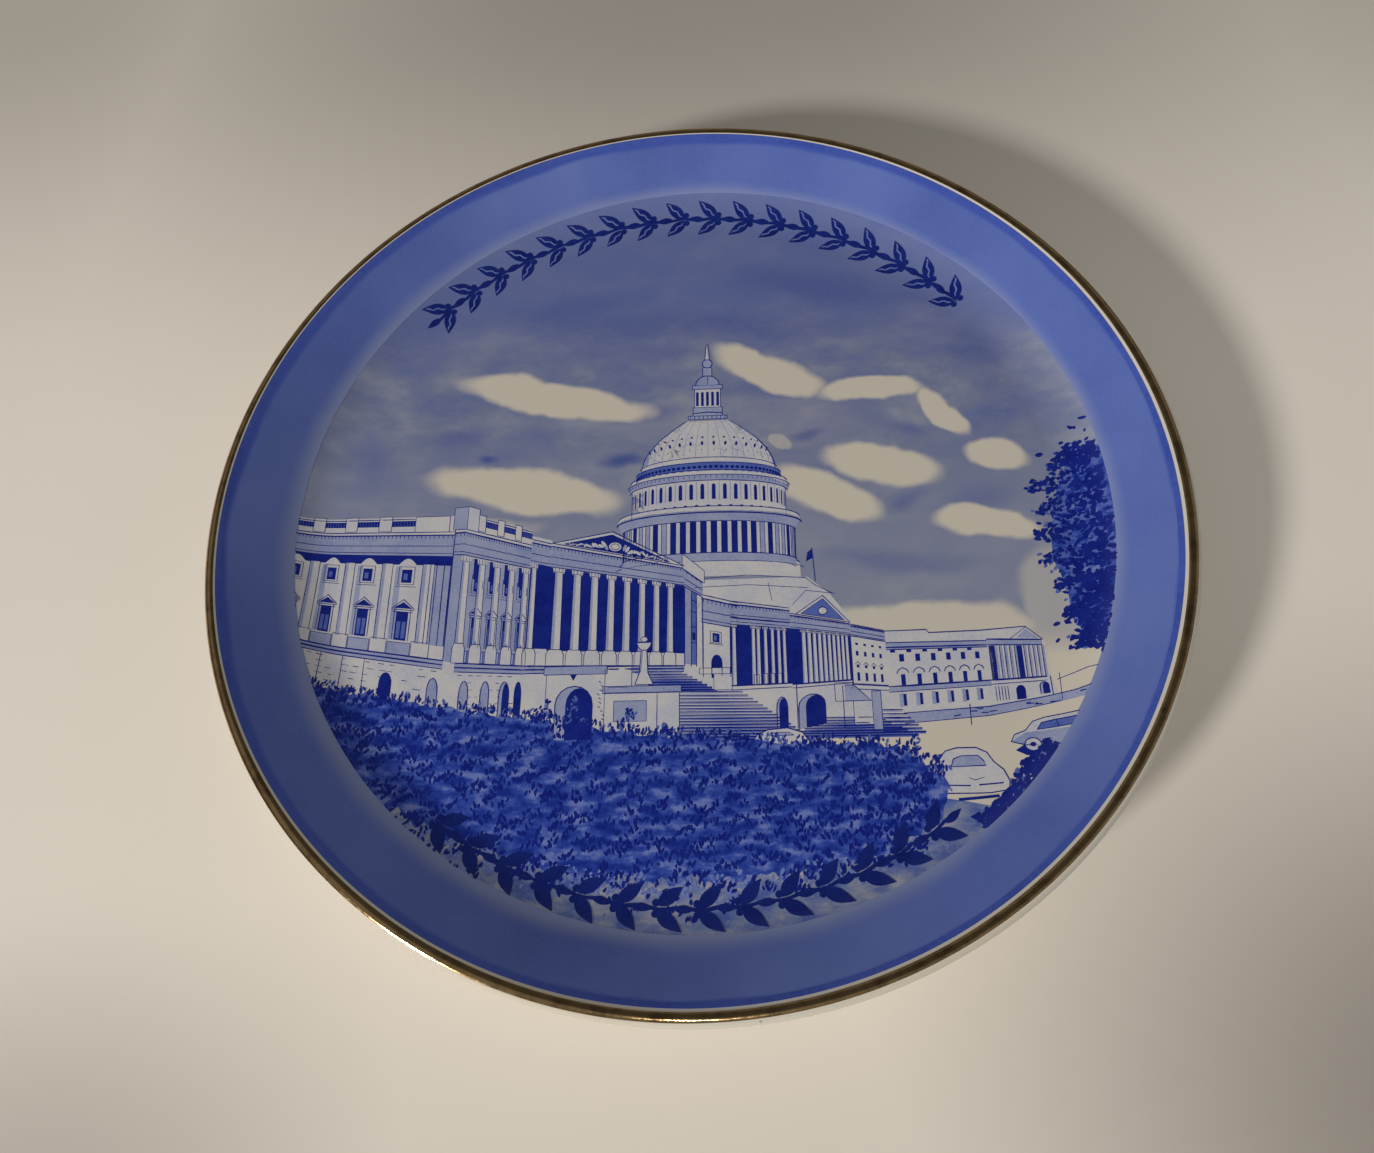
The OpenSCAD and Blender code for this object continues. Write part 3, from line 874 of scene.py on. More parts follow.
def addLeftWing(draw, rng):
    at = frontAt("leftWing")
    draw.panel(at, 0, 1, 0, 0.99)
    draw.parapet(at, 4, 0.02, 0.80)
    draw.box(at, 0.80, 0.97, storey["cornice"], 0.99, "white", 5)
    draw.entablature(at, teeth=46)
    draw.panel(at, 0, 1, storey["shade"] - 0.02, storey["architrave"], "dark", 4)
    bays = 4
    pitch = 0.84 / bays
    for i in range(bays):
        t = 0.05 + (i + 0.5) * pitch
        spring = storey["shade"] - 0.02
        draw.fill("white", 5, [at(t - 0.045 + 0.09 * k / 8, spring + 0.045 * sinD(180 * k / 8))
                               for k in range(9)])
        draw.smallWindow(at, t, 0.026)
        draw.tallWindow(at, t, 0.030)
        edge = t + pitch / 2
        draw.panel(at, edge - 0.028, edge + 0.028, 0.09, 0.64, "white", 5)
        draw.panel(at, edge - 0.028, edge - 0.010, 0.09, 0.64, "pale", 6)
        draw.up(at, edge - 0.028, 0.09, 0.64)
        draw.up(at, edge + 0.028, 0.09, 0.64, "fine")
        draw.box(at, edge - 0.045, edge + 0.04, 0.0, 0.10, "white", 5)
        draw.box(at, t - 0.06, t + 0.055, 0.0, 0.085, "pale", 4)
        draw.panel(at, t - 0.06, t - 0.03, 0.10, 0.62, "pale", 3)
    draw.panel(at, 0.9, 1.0, 0.09, 0.65, "pale", 3)
    for t in (0.90, 0.93, 0.965, 0.995):
        draw.up(at, t, 0.09, 0.65)
    draw.stringCourse(at)
    draw.basement(at, rng, 9, 15)
    for t in (0.16, 0.28, 0.38, 0.50, 0.62):
        draw.up(at, t, -0.44, -0.06, "fine", 5)
    draw.arch(at, 0.74, 0.030, -0.34, -0.13)
    draw.arch(at, 0.965, 0.024, -0.36, -0.12, "pale")


def addPavilion(draw, rng):
    end = frontAt("pavilionEnd")
    draw.panel(end, 0, 1, 0, 1.0, "pale")
    draw.entablature(end, teeth=3)
    draw.box(end, -0.2, 1.0, storey["cornice"], 1.03, "pale", 6)
    draw.up(end, 0, 0, 1)
    at = frontAt("pavilion")
    draw.panel(at, 0, 1, 0, 0.985)
    draw.box(at, 0.0, 0.16, storey["cornice"], 1.035, "white", 6)
    draw.parapet(at, 3, 0.16, 1.0)
    draw.entablature(at, teeth=26)
    draw.panel(at, 0.02, 1, 0.09, storey["architrave"] - 0.01, "pale", 3)
    columns = 4
    for i in range(columns):
        t = 0.10 + 0.9 * (i + 0.5) / columns
        draw.panel(at, t - 0.072, t + 0.082, 0.55, storey["columnTop"] + 0.03, "dark", 4)
        draw.smallWindow(at, t, 0.05, 0.47, 0.56)
        draw.tallWindow(at, t + 0.01, 0.05, 0.10, 0.30, 0.37)
        draw.panel(at, t - 0.09, t + 0.09, 0.0, 0.085, "mid", 4)
        for k in range(5):
            draw.line([at(t - 0.08 + 0.04 * k, 0.01), at(t - 0.08 + 0.04 * k, 0.075)], 0.2, 5, "white")
    for i in range(columns + 1):
        t = 0.012 + 0.9 * i / columns
        draw.column(at, t + 0.02, 0.054)
        draw.pedestal(at, t + 0.02, 0.082)
    draw.stringCourse(at)
    draw.basement(at, rng, 9, 7)
    draw.arch(at, 0.15, 0.06, -0.36, -0.11, "pale")
    draw.arch(at, 0.44, 0.06, -0.36, -0.11, "pale")
    draw.arch(at, 0.72, 0.075, -0.38, -0.11, depth=0.05)
    draw.arch(at, 0.93, 0.05, -0.38, -0.11)
    side = frontAt("porticoReturn")
    draw.panel(side, 0, 1, 0, 1.0)
    draw.entablature(side, teeth=5, top=0.97, foot=0.78)
    draw.panel(side, 0, 1, 0.13, 0.78, "dark", 4)
    draw.column(side, 0.18, 0.14, 0.13, 0.75)
    draw.pedestal(side, 0.18, 0.3, 0, 0.13)
    draw.stringCourse(side)


def addPortico(draw, rng):
    at = frontAt("portico")
    draw.panel(at, 0, 1, 0, 1.0)
    draw.entablature(at, teeth=44, top=1.0, foot=0.80)
    draw.panel(at, 0, 1, 0.12, 0.795, "dark", 4)
    columns = 8
    for i in range(columns):
        t = 0.03 + 0.94 * (i + 0.18) / columns
        draw.column(at, t, 0.0285, 0.13, 0.765)
        draw.pedestal(at, t, 0.052, 0.0, 0.13)
    draw.stringCourse(at)
    centre, inner = draw.gable(at, 0, 1.0, 0.40, 1.0, 5.3)
    draw.fill("dark", 6, inner)
    # leafy scrolls on both sides of a medallion
    for foot in inner[:2]:
        for k in range(15):
            share = (k + 0.3) / 15
            x = centre[0] + (foot[0] - centre[0]) * (0.16 + 0.76 * share)
            y = centre[1] + (foot[1] - centre[1]) * (0.16 + 0.76 * share)
            y += rng.uniform(-0.5, 0.8) * (1 - share)
            size = 0.95 * (1 - share) + 0.42
            shade = "white" if k % 3 else "pale"
            draw.fill(shade, 7 + 0.1 * (k % 3), oval(x, y, 0.62 * size, 0.27 * size, rng.uniform(-75, 75), 9))
    draw.fill("white", 8, oval(*centre, 1.5, 1.15, -10, 24))
    draw.line(oval(*centre, 1.5, 1.15, -10, 24) + oval(*centre, 1.5, 1.15, -10, 24)[:1], "pen", 9)
    draw.line(oval(*centre, 0.95, 0.7, -10, 20) + oval(*centre, 0.95, 0.7, -10, 20)[:1], "fine", 9)
    end = frontAt("porticoEnd")
    draw.panel(end, 0, 1, 0, 1.0)
    draw.entablature(end, teeth=4, top=1.0, foot=0.80)
    draw.box(end, -0.1, 1.1, 0.98, 1.13, "white", 6)
    draw.panel(end, 0.0, 0.3, 0.02, 0.80, "pale", 3)
    draw.panel(end, 0.36, 0.60, 0.02, 0.80, "mid", 3)
    for t in (0.02, 0.34, 0.62, 0.98):
        draw.up(end, t, 0.0, 0.80)
    for s in (0.25, 0.42, 0.58, 0.70):
        draw.along(end, s, 0.36, 0.60, "fine")
    draw.panel(end, 0.40, 0.56, 0.28, 0.36, "dark", 4)


def addSteps(draw, top, bottom, count, drift=0.0):
    (leftTop, rightTop, highY), (leftLow, rightLow, lowY) = top, bottom
    draw.fill("white", 3, [(leftLow, lowY), (rightLow, lowY - drift), (rightTop, highY), (leftTop, highY)])
    for i in range(count):
        share = (i / (count - 1)) ** 0.94
        y = highY + (lowY - highY) * share
        x0 = leftTop + (leftLow - leftTop) * share
        x1 = rightTop + (rightLow - rightTop) * share
        weight = 0.16 + 0.16 * share
        draw.line([(x0, y), ((x0 + x1) / 2, y - drift / 2), (x1, y - drift)], weight + 0.08, 5)
        under = y - 0.28
        draw.line([(x0, under), ((x0 + x1) / 2, under - drift / 2), (x1, under - drift)], weight, 4, "mid")


def addForecourt(draw, rng):
    # arched block under the portico, and the pedestal block in front of the steps
    plane = lambda t, s: (t, s)
    draw.box(plane, -30.6, -18.2, -50.5, -36.4, "white", 7)
    draw.box(plane, -31.2, -17.8, -36.4, -34.6, "pale", 7, "pen")
    draw.arch(plane, -24.6, 3.9, -50.5, -39.0, "dark", 8, True, 2.2)
    draw.fill("dark", 9, [(-25.6, -36.5), (-24.2, -36.5), (-24.9, -37.8)])
    draw.box(plane, -18.2, -12.6, -39.4, -34.9, "white", 6)
    draw.box(plane, -18.2, -2.6, -51.0, -40.6, "white", 7)
    draw.box(plane, -18.6, -2.2, -40.7, -39.2, "pale", 7, "pen")
    draw.box(plane, -16.2, -9.4, -46.8, -42.4, "pale", 8, "fine")
    draw.up(plane, -7.2, -51.0, -40.7, "fine", 9)
    for k in range(12):
        x, y = rng.uniform(-19.8, -18.6), -38 - k * 0.9
        draw.line([(x, y), (x + 0.5, y - 0.35)], 0.22, 9)
    addSteps(draw, (-12.6, -3.2, -35.4), (-8.0, 5.2, -40.2), 9, 0.15)
    draw.box(plane, 1.6, 8.0, -36.9, -35.6, "white", 6)
    draw.box(plane, 4.6, 8.4, -40.4, -36.9, "white", 6)
    addSteps(draw, (-2.4, 10.5, -40.6), (-7.0, 25.5, -51.6), 17, 0.25)
    # urn on a tall pillar
    pillar = [(-11.9, -38.9), (-8.1, -38.9), (-9.2, -36.4), (-9.5, -31.4), (-10.7, -31.4), (-11.0, -36.4)]
    draw.fill("white", 9, pillar)
    draw.line(pillar + pillar[:1], "pen", 10)
    draw.line([(-10.75, -36.2), (-10.4, -31.6)], "fine", 10)
    bowl = [(-10.7, -31.3), (-9.5, -31.3), (-8.8, -30.5), (-8.6, -29.6), (-11.6, -29.6), (-11.4, -30.5)]
    draw.fill("white", 9, bowl)
    draw.line(bowl + bowl[:1], "pen", 10)
    draw.line([(-11.9, -29.5), (-8.3, -29.5)], "bold", 10)
    draw.fill("white", 9, oval(-10.1, -28.9, 0.75, 0.6))
    draw.line(oval(-10.1, -28.9, 0.75, 0.6) + [(-9.35, -28.9)], "fine", 10)


def addCentre(draw):
    plane = lambda t, s: (t, s)
    # roof slopes behind the parapets
    roof = [(0, -15.5), (25, -15.4), (29.5, -19.5), (34, -26), (2, -26)]
    draw.fill("white", 2, roof)
    draw.line([(0.5, -15.2), (12, -14.6), (24.5, -15.6), (26.5, -17.4), (30.5, -19.6)], "fine", 4)
    draw.line([(0.5, -17.2), (12.5, -16.9), (25, -18.0)], "fine", 4)
    draw.line([(16.5, -16.6), (17.2, -20.8)], "fine", 4)
    draw.line([(21.5, -21.8), (24.5, -18.6), (30, -19.4)], "fine", 4)
    at = frontAt("link")
    draw.panel(at, -0.1, 1.2, 0, 1.0)
    draw.entablature(at, teeth=9, t0=-0.05, t1=1.15, top=1.0, foot=0.66)
    draw.smallWindow(at, 0.40, 0.11, 0.44, 0.55)
    draw.arch(at, 0.42, 0.16, 0.0, 0.28)
    draw.up(at, 0.0, 0, 0.66)
    draw.up(at, 0.86, 0, 0.66)
    at = frontAt("centre")
    draw.panel(at, 0, 1, -0.5, 1.0)
    draw.entablature(at, teeth=18, top=1.0, foot=0.72)
    draw.along(at, 0.80, 0, 1, "bold")
    draw.panel(at, 0, 1, 0.0, 0.72, "dark", 4)
    for t in (0.02, 0.32, 0.40, 0.52, 0.64, 0.75, 0.85):
        draw.column(at, t + 0.03, 0.034, 0.0, 0.69)
    draw.box(at, 0.35, 0.43, 0.0, 0.12, "white", 7)
    for t in (0.50, 0.62, 0.74):
        draw.box(at, t, t + 0.07, 0.0, 0.13, "white", 7)
    at = frontAt("centrePortico")
    draw.panel(at, 0, 1, -0.62, 1.0)
    draw.entablature(at, teeth=20, top=1.0, foot=0.78)
    draw.panel(at, 0, 1, 0.0, 0.78, "dark", 4)
    for i in range(10):
        draw.column(at, 0.16 + 0.82 * (i + 0.3) / 10, 0.036, 0.0, 0.75)
    centre, inner = draw.gable(at, 0.08, 1.02, 0.52, 1.0, 5.3)
    draw.fill("mid", 6, inner)
    draw.fill("white", 7, oval(*centre, 0.95, 0.85, 0, 18))
    draw.line(oval(*centre, 0.95, 0.85, 0, 18) + [(centre[0] + 0.95, centre[1])], "pen", 8)
    # basement of the middle block
    for front in ("centre", "centrePortico"):
        place = frontAt(front)
        draw.along(place, 0.0, width="bold", layer=7)
        draw.along(place, -0.05, width="fine", layer=7)
    place = frontAt("centrePortico")
    draw.arch(place, 0.27, 0.20, -0.62, -0.16, depth=0.10)
    draw.arch(frontAt("centre"), 0.80, 0.095, -0.56, -0.17, depth=0.04)
    for x in (21.6, 31.0):
        draw.line([(x, -39.6), (x, -49)], "pen", 6)
    draw.box(plane, 29.4, 33.0, -43.4, -39.5, "white", 6)
    draw.fill("pale", 7, [(31.4, -40), (33.2, -40), (36.4, -43.3), (31.4, -43.3)])
    draw.line([(31.4, -40), (33.2, -40), (36.6, -43.4), (31.4, -43.4)], "pen", 8)
    draw.box(plane, 33.0, 38.2, -48.4, -43.4, "white", 5)
    draw.box(plane, 36.8, 38.6, -49.5, -41.4, "pale", 7)
    addSteps(draw, (27.0, 38, -46.8), (20, 45.5, -50.6), 8, 0.1)
    addSteps(draw, (38.6, 42.8, -45.4), (38.6, 47.0, -50.0), 7, 0.1)


def addRightWing(draw, rng):
    at = frontAt("rightLink")
    draw.panel(at, 0, 1, -0.45, 1.0)
    draw.entablature(at, teeth=10, top=1.0, foot=0.80)
    for row, (low, high) in enumerate(((0.66, 0.70), (0.48, 0.56), (0.28, 0.33), (0.06, 0.20))):
        for i in range(4):
            t = 0.16 + 0.22 * i
            draw.panel(at, t - 0.035, t + 0.035, low, high, "dark", 4)
            if row == 2:
                draw.line([at(t - 0.07, high), at(t, high + 0.05), at(t + 0.07, high)], "fine", 5)
    draw.up(at, 0, 0, 0.8, "bold")
    draw.along(at, 0.0, width="bold")
    draw.along(at, -0.08, width="fine")
    # the long wing, under a low roof
    draw.fill("white", 3, [(40.4, -31), (40.4, -28.4), (49, -28.3), (49.4, -29), (69.2, -28.2),
                           (72.4, -31.2)])
    draw.line([(40.4, -28.4), (49, -28.3), (49.4, -29.0), (60, -28.8), (69.2, -28.2),
               (72.4, -31.2)], "pen", 6)
    draw.line([(69.2, -28.4), (65.8, -30.9)], "fine", 6)
    draw.fill("pale", 4, [(69.2, -28.7), (67.2, -30.6), (71.6, -30.9)])
    at = frontAt("rightWing")
    draw.panel(at, 0, 1, -0.62, 1.0)
    draw.panel(at, 0, 1, 0.84, 0.98, "pale", 4)
    draw.along(at, 0.99, width="pen")
    draw.along(at, 0.88, width="bold")
    draw.along(at, 0.83, width="pen")
    bays = 6
    for i in range(bays):
        t = 0.06 + 0.90 * (i + 0.5) / bays
        draw.panel(at, t - 0.10, t - 0.055, 0.76, 0.83, "dark", 5)
        draw.panel(at, t - 0.022, t + 0.022, 0.55, 0.72, "dark", 5)
        draw.panel(at, t - 0.020, t + 0.020, 0.02, 0.26, "dark", 5)
        hood = [at(t - 0.055, 0.28), at(t - 0.04, 0.36), at(t, 0.41), at(t + 0.04, 0.36), at(t + 0.055, 0.28)]
        draw.line(hood, "pen", 6)
        draw.panel(at, t - 0.014, t + 0.014, -0.44, -0.18, "dark", 5)
        draw.panel(at, t - 0.05, t - 0.016, -0.46, -0.16, "pale", 4)
    draw.along(at, 0.0, width="bold")
    draw.panel(at, 0, 1, -0.12, -0.02, "pale", 4)
    draw.along(at, -0.12, width="fine")
    at = frontAt("rightPavilion")
    draw.panel(at, 0, 1.06, -0.55, 1.0)
    draw.panel(at, 0, 1, 0.84, 0.98, "pale", 4)
    draw.along(at, 1.0, width="bold")
    draw.along(at, 0.86, width="pen")
    draw.panel(at, 0.04, 0.12, 0.02, 0.84, "dark", 4)
    draw.panel(at, 0.50, 0.60, 0.02, 0.84, "dark", 5)
    for i in range(12):
        t = 0.03 + 0.95 * i / 11
        draw.panel(at, t + 0.015, t + 0.045, 0.02, 0.84, "pale", 4)
        draw.up(at, t, 0.0, 0.84, "pen")
    draw.along(at, 0.0, width="bold")
    draw.along(at, -0.1, width="fine")
    draw.arch(at, 0.48, 0.075, -0.52, -0.18)
    draw.arch(at, 0.92, 0.085, -0.45, -0.14, depth=0.05)
    for i in range(5):
        draw.up(at, 0.06 + 0.05 * i, -0.5, -0.16, "fine")
    draw.up(at, 1.06, -0.5, 0.0)
    # low wall and lamp along the drive
    draw.fill("pale", 3, [(43, -48.3), (43, -46.2), (60, -45.2), (77, -42.6), (88, -40), (88, -42.6),
                          (60, -47)])
    draw.line([(43, -46.2), (60, -45.2), (77, -42.6), (88, -39.6)], "pen", 6)
    draw.line([(43, -48.4), (60, -47.1), (74, -44.6)], "fine", 6)
    for k in range(16):
        x = rng.uniform(52, 86)
        y = -46.6 + (x - 52) * 0.125 + rng.uniform(-0.7, 0.7)
        draw.line([(x, y), (x + rng.uniform(0.5, 1.6), y + rng.uniform(-0.05, 0.25))], 0.3, 5)
    draw.line([(56.2, -44.6), (56.1, -49)], "pen", 8)
    draw.line([(74, -40), (80, -38), (87, -37.4)], "fine", 5)
    draw.line([(74.6, -38.6), (74.3, -44.4)], "fine", 5)


dome = {"axis": 3.8, "eye": -40, "distance": 245, "girth": 0.955}


def roundAt(phi, y, radius):
    reach = radius * dome["girth"]
    bow = reach * cosD(phi) * (y - dome["eye"]) / dome["distance"]
    return (dome["axis"] + reach * sinD(phi), y + bow)


def ringArc(y, radius, start=-90, end=90, steps=28):
    return [roundAt(start + (end - start) * i / steps, y, radius) for i in range(steps + 1)]


def roundBand(draw, low, high, radiusLow, radiusHigh, shade, layer):
    draw.fill(shade, layer, ringArc(low, radiusLow) + ringArc(high, radiusHigh)[::-1])


def addDome(draw):
    # colonnaded drum, attic with windows, ribbed dome, lantern with a ball
    roundBand(draw, -16.5, -12.2, 20.8, 20.6, "white", 2)
    draw.line(ringArc(-13.2, 21.4), "fine", 4)
    draw.line(ringArc(-12.0, 20.6), "pen", 4)
    roundBand(draw, -13, -2.5, 19.6, 19.6, "dark", 3)
    roundBand(draw, -13, -11.2, 19.9, 19.9, "pale", 4)
    for i in range(25):
        phi = -84 + 7 * i
        half = 1.5
        shaft = [roundAt(phi - half, -11.2, 19.9), roundAt(phi + half, -11.2, 19.9),
                 roundAt(phi + half, -4.0, 19.9), roundAt(phi - half, -4.0, 19.9)]
        draw.fill("white", 5, shaft)
        draw.line([shaft[0], shaft[3]], "fine", 6)
        draw.line([shaft[1], shaft[2]], "fine", 6)
        if abs(phi) > 30:
            gap = [roundAt(phi + half, -11.2, 19.8), roundAt(phi + 7 - half, -11.2, 19.8),
                   roundAt(phi + 7 - half, -4.0, 19.8), roundAt(phi + half, -4.0, 19.8)]
            draw.fill("pale" if i % 3 else "dark", 4, gap)
    draw.line(ringArc(-11.2, 20.0), "pen", 6)
    roundBand(draw, -4.0, -1.6, 20.2, 21.2, "pale", 5)
    roundBand(draw, -2.2, -0.7, 21.3, 21.0, "white", 5)
    draw.line(ringArc(-4.0, 20.0), "pen", 6)
    draw.line(ringArc(-2.2, 21.4), "bold", 6)
    draw.line(ringArc(-0.7, 21.0), "pen", 6)
    # attic
    roundBand(draw, -0.8, 7.6, 18.0, 18.0, "white", 4)
    draw.line([roundAt(-90, -0.6, 18), roundAt(-90, 6.4, 18)], "fine", 6)
    draw.line([roundAt(90, -0.6, 18), roundAt(90, 6.4, 18)], "fine", 6)
    for i in range(20):
        phi = -81 + 8.5 * i
        half = 1.45
        low, high = 1.4, 5.0
        points = [roundAt(phi - half, low, 18), roundAt(phi + half, low, 18)]
        for k in range(7):
            angle = 180 * k / 6
            points.append(roundAt(phi + half * cosD(angle), high - 0.5 + 0.6 * sinD(angle), 18))
        draw.fill("dark", 5, points)
        draw.fill("dark", 5, oval(*roundAt(phi + 4.2, -0.1, 18.2), 0.34 * cosD(phi) + 0.12, 0.2, 0, 6))
        draw.line([roundAt(phi + 4.2, 1.2, 18), roundAt(phi + 4.2, 5.6, 18)], 0.12, 5, "mid")
    draw.fill("pale", 4, [roundAt(-90, -0.6, 18)] + [roundAt(-90 + 4 * i, 7, 18) for i in range(9)]
              + [roundAt(-58, -0.6, 18)])
    roundBand(draw, 5.8, 7.2, 18.6, 18.9, "pale", 6)
    roundBand(draw, 7.0, 8.2, 18.9, 18.4, "white", 6)
    draw.line(ringArc(5.8, 18.5), "pen", 7)
    draw.line(ringArc(7.1, 19.0), "pen", 7)
    for i in range(44):
        phi = -86 + 4 * i
        draw.line([roundAt(phi, 6.9, 18.8), roundAt(phi, 6.3, 18.7)], 0.17, 7)
    draw.line(ringArc(8.3, 18.4), "pen", 7)
    roundBand(draw, 8.3, 10.4, 17.2, 17.0, "mid", 6)
    for i in range(40):
        phi = -86 + 4.4 * i
        draw.fill("dark", 7, oval(*roundAt(phi, 9.3, 17.1), 0.42 * cosD(phi) + 0.1, 0.42, 0, 6))
    draw.line(ringArc(10.4, 17.1), "pen", 7)
    roundBand(draw, 10.4, 11.6, 16.6, 16.3, "white", 6)
    draw.line(ringArc(11.8, 16.2), "fine", 7)
    # the shell
    foot, tall, radius = 11.4, 13.4, 15.9

    def shell(phi, share):
        return roundAt(phi, foot + tall * share ** 0.96, radius * (1 - 0.68 * share ** 1.85))

    def rib(phi, steps):
        return [shell(phi, i / steps) for i in range(steps + 1)]

    outline = rib(-90, 16) + rib(90, 16)[::-1]
    draw.fill("white", 4, ringArc(foot, radius, -90, 90)[::-1] + outline)
    draw.fill("white", 4, outline)
    draw.fill("pale", 5, rib(-90, 12) + rib(-66, 12)[::-1])
    draw.fill("pale", 5, rib(90, 12) + rib(74, 12)[::-1])
    draw.line(rib(-90, 16), "pen", 7)
    draw.line(rib(90, 16), "pen", 7)
    for i in range(15):
        phi = -77 + 11 * i
        draw.line([shell(phi, 0.03 + 0.95 * k / 8) for k in range(9)], 0.10, 6, "pale")
        middle = phi + 5.5
        if i < 14:
            wide = 0.14 + 0.17 * cosD(middle)
            draw.fill("dark", 7, oval(*shell(middle, 0.30), wide, 0.58, -0.3 * middle, 7))
            draw.fill("dark", 7, oval(*shell(middle, 0.43), 0.22 * cosD(middle) + 0.06, 0.26, 0, 6))
            draw.fill("mid", 7, oval(*shell(middle, 0.17), 0.13, 0.20, 0, 5))
            draw.fill("mid", 7, oval(*shell(phi, 0.10), 0.12, 0.14, 0, 5))
    # the lantern
    axis = dome["axis"]
    lanternFoot = 25.2
    plane = lambda t, s: (axis + 1.25 * t, lanternFoot + s)
    draw.box(plane, -3.6, 3.6, 0.0, 0.9, "pale", 6, "pen")
    for i in range(9):
        draw.line([plane(-3.2 + 0.8 * i, 0.1), plane(-3.2 + 0.8 * i, 0.9)], 0.2, 8)
    draw.box(plane, -2.7, 2.7, 0.9, 3.2, "pale", 6, "pen")
    draw.line([plane(-2.7, 1.6), plane(0, 1.9), plane(2.7, 1.6)], "bold", 8)
    draw.box(plane, -2.4, 2.4, 3.2, 8.2, "white", 6)
    for i in range(5):
        x = -1.9 + 0.95 * i
        draw.fill("dark", 8, [plane(x - 0.25, 3.6), plane(x + 0.25, 3.6),
                              plane(x + 0.25, 7.4), plane(x - 0.25, 7.4)])
    draw.box(plane, -2.8, 2.8, 8.2, 9.3, "pale", 6, "pen")
    cap = [plane(2.2 * cosD(180 * i / 12), 9.3 + 2.6 * sinD(180 * i / 12)) for i in range(13)]
    draw.fill("pale", 7, cap)
    draw.line(cap, "pen", 8)
    draw.line([plane(0, 9.4), plane(0.1, 11.8)], "fine", 8)
    draw.box(plane, -0.85, 0.85, 11.8, 14.2, "pale", 7, "pen")
    draw.fill("pale", 8, oval(axis, lanternFoot + 15.3, 1.15, 1.15, 0, 18))
    draw.line(oval(axis, lanternFoot + 15.3, 1.15, 1.15, 0, 18) + [(axis + 1.15, lanternFoot + 15.3)],
              "pen", 9)
    spike = [plane(-0.45, 16.4), plane(0.45, 16.4), plane(0.12, 20.8), plane(-0.12, 20.8)]
    draw.fill("white", 7, spike)
    draw.line(spike + spike[:1], "pen", 8)
    # flagpole
    draw.line([(26.6, -16.5), (26.2, -8.6)], "pen", 6)
    draw.fill("dark", 6, [(26.2, -8.8), (25.2, -9.6), (24.8, -11.8), (26.3, -11.0)])


def addBuilding():
    rng = random.Random(21)
    draw = Drawing()
    wall = [(-95, -18), (-60, -24), (-10, -32), (2, -20), (38, -30), (72, -34), (74, -44), (38, -49),
            (-30, -50.5), (-95, -38)]
    draw.fill("white", 1.5, wall)
    addDome(draw)
    addCentre(draw)
    addRightWing(draw, rng)
    addPavilion(draw, rng)
    addLeftWing(draw, rng)
    addPortico(draw, rng)
    addForecourt(draw, rng)
    layPrint("buildingPrint", "building_print", draw.patches, printFinishes)


# hedge, tree, lawn and cars
hedge = {
    "top": [(-92, -35.5), (-84, -37.2), (-74, -39.4), (-62, -41.6), (-50, -43.6), (-38, -45.4),
            (-30, -46.4), (-24, -47.2), (-17, -48.6), (-8, -49.8), (4, -50.6), (18, -51.8),
            (30, -52.2), (41, -53.2),
            (47, -57.4), (51, -61)],
    "low": [(47.5, -68.5), (36, -74), (22, -77.5), (6, -79), (-12, -78.6), (-30, -76), (-46, -71.5),
            (-62, -64), (-80, -50), (-92, -38)],
    "rows": 19, "spray": (1.5, 3.6), "pitch": 0.52, "tufts": 520, "below": 620,
    "farDabs": 330, "farSweep": (-51, -37), "farRadius": 86.0,
    "sprigs": [(-25, -47, 6.5), (-13.5, -48.5, 4.5), (-31, -46, 4), (44, -55, 4), (48, -58, 3),
               (-6, -50, 2.4)],
}


def interpolate(points, x):
    for (x0, y0), (x1, y1) in zip(points, points[1:]):
        low, high = min(x0, x1), max(x0, x1)
        if low <= x <= high:
            return y0 + (y1 - y0) * (x - x0) / (x1 - x0)
    return None


def dab(rng, x, y, size, tilt, stretch=2.0):
    sides = 7
    points = []
    for i in range(sides):
        angle = 360 * i / sides
        reach = rng.uniform(0.72, 1.2)
        u, v = size * stretch * reach * cosD(angle), size * reach * sinD(angle)
        points.append((x + u * cosD(tilt) - v * sinD(tilt), y + u * sinD(tilt) + v * cosD(tilt)))
    return points


def clump(x, y):
    wave = math.sin(x * 0.42 + 1.3 * math.sin(y * 0.5)) + math.sin(y * 0.72 + 0.9 * math.sin(x * 0.33 + 2))
    return 0.5 + 0.25 * wave


# points strung along an outline, each moved a little up or down
def ragged(rng, points, pitch, rough):
    strung = []
    for first, second in zip(points, points[1:]):
        count = max(2, int(math.dist(first, second) / pitch))
        for i in range(count):
            share = i / count
            x = first[0] + (second[0] - first[0]) * share
            strung.append((x, first[1] + (second[1] - first[1]) * share + rng.uniform(*rough)))
    return strung


# the same with soft round lobes instead of points
def lobed(rng, points, depth):
    strung = ragged(rng, points, 0.45, (-0.1, 0.1))
    waves = [(size, rate, rng.uniform(0, 6)) for size, rate in ((1, 0.42), (0.7, 0.93), (0.5, 0.19))]
    moved = []
    for i, (x, y) in enumerate(strung):
        wave = sum(size * math.sin(i * rate + phase) for size, rate, phase in waves)
        moved.append((x, y + depth * 0.5 * wave))
    return moved


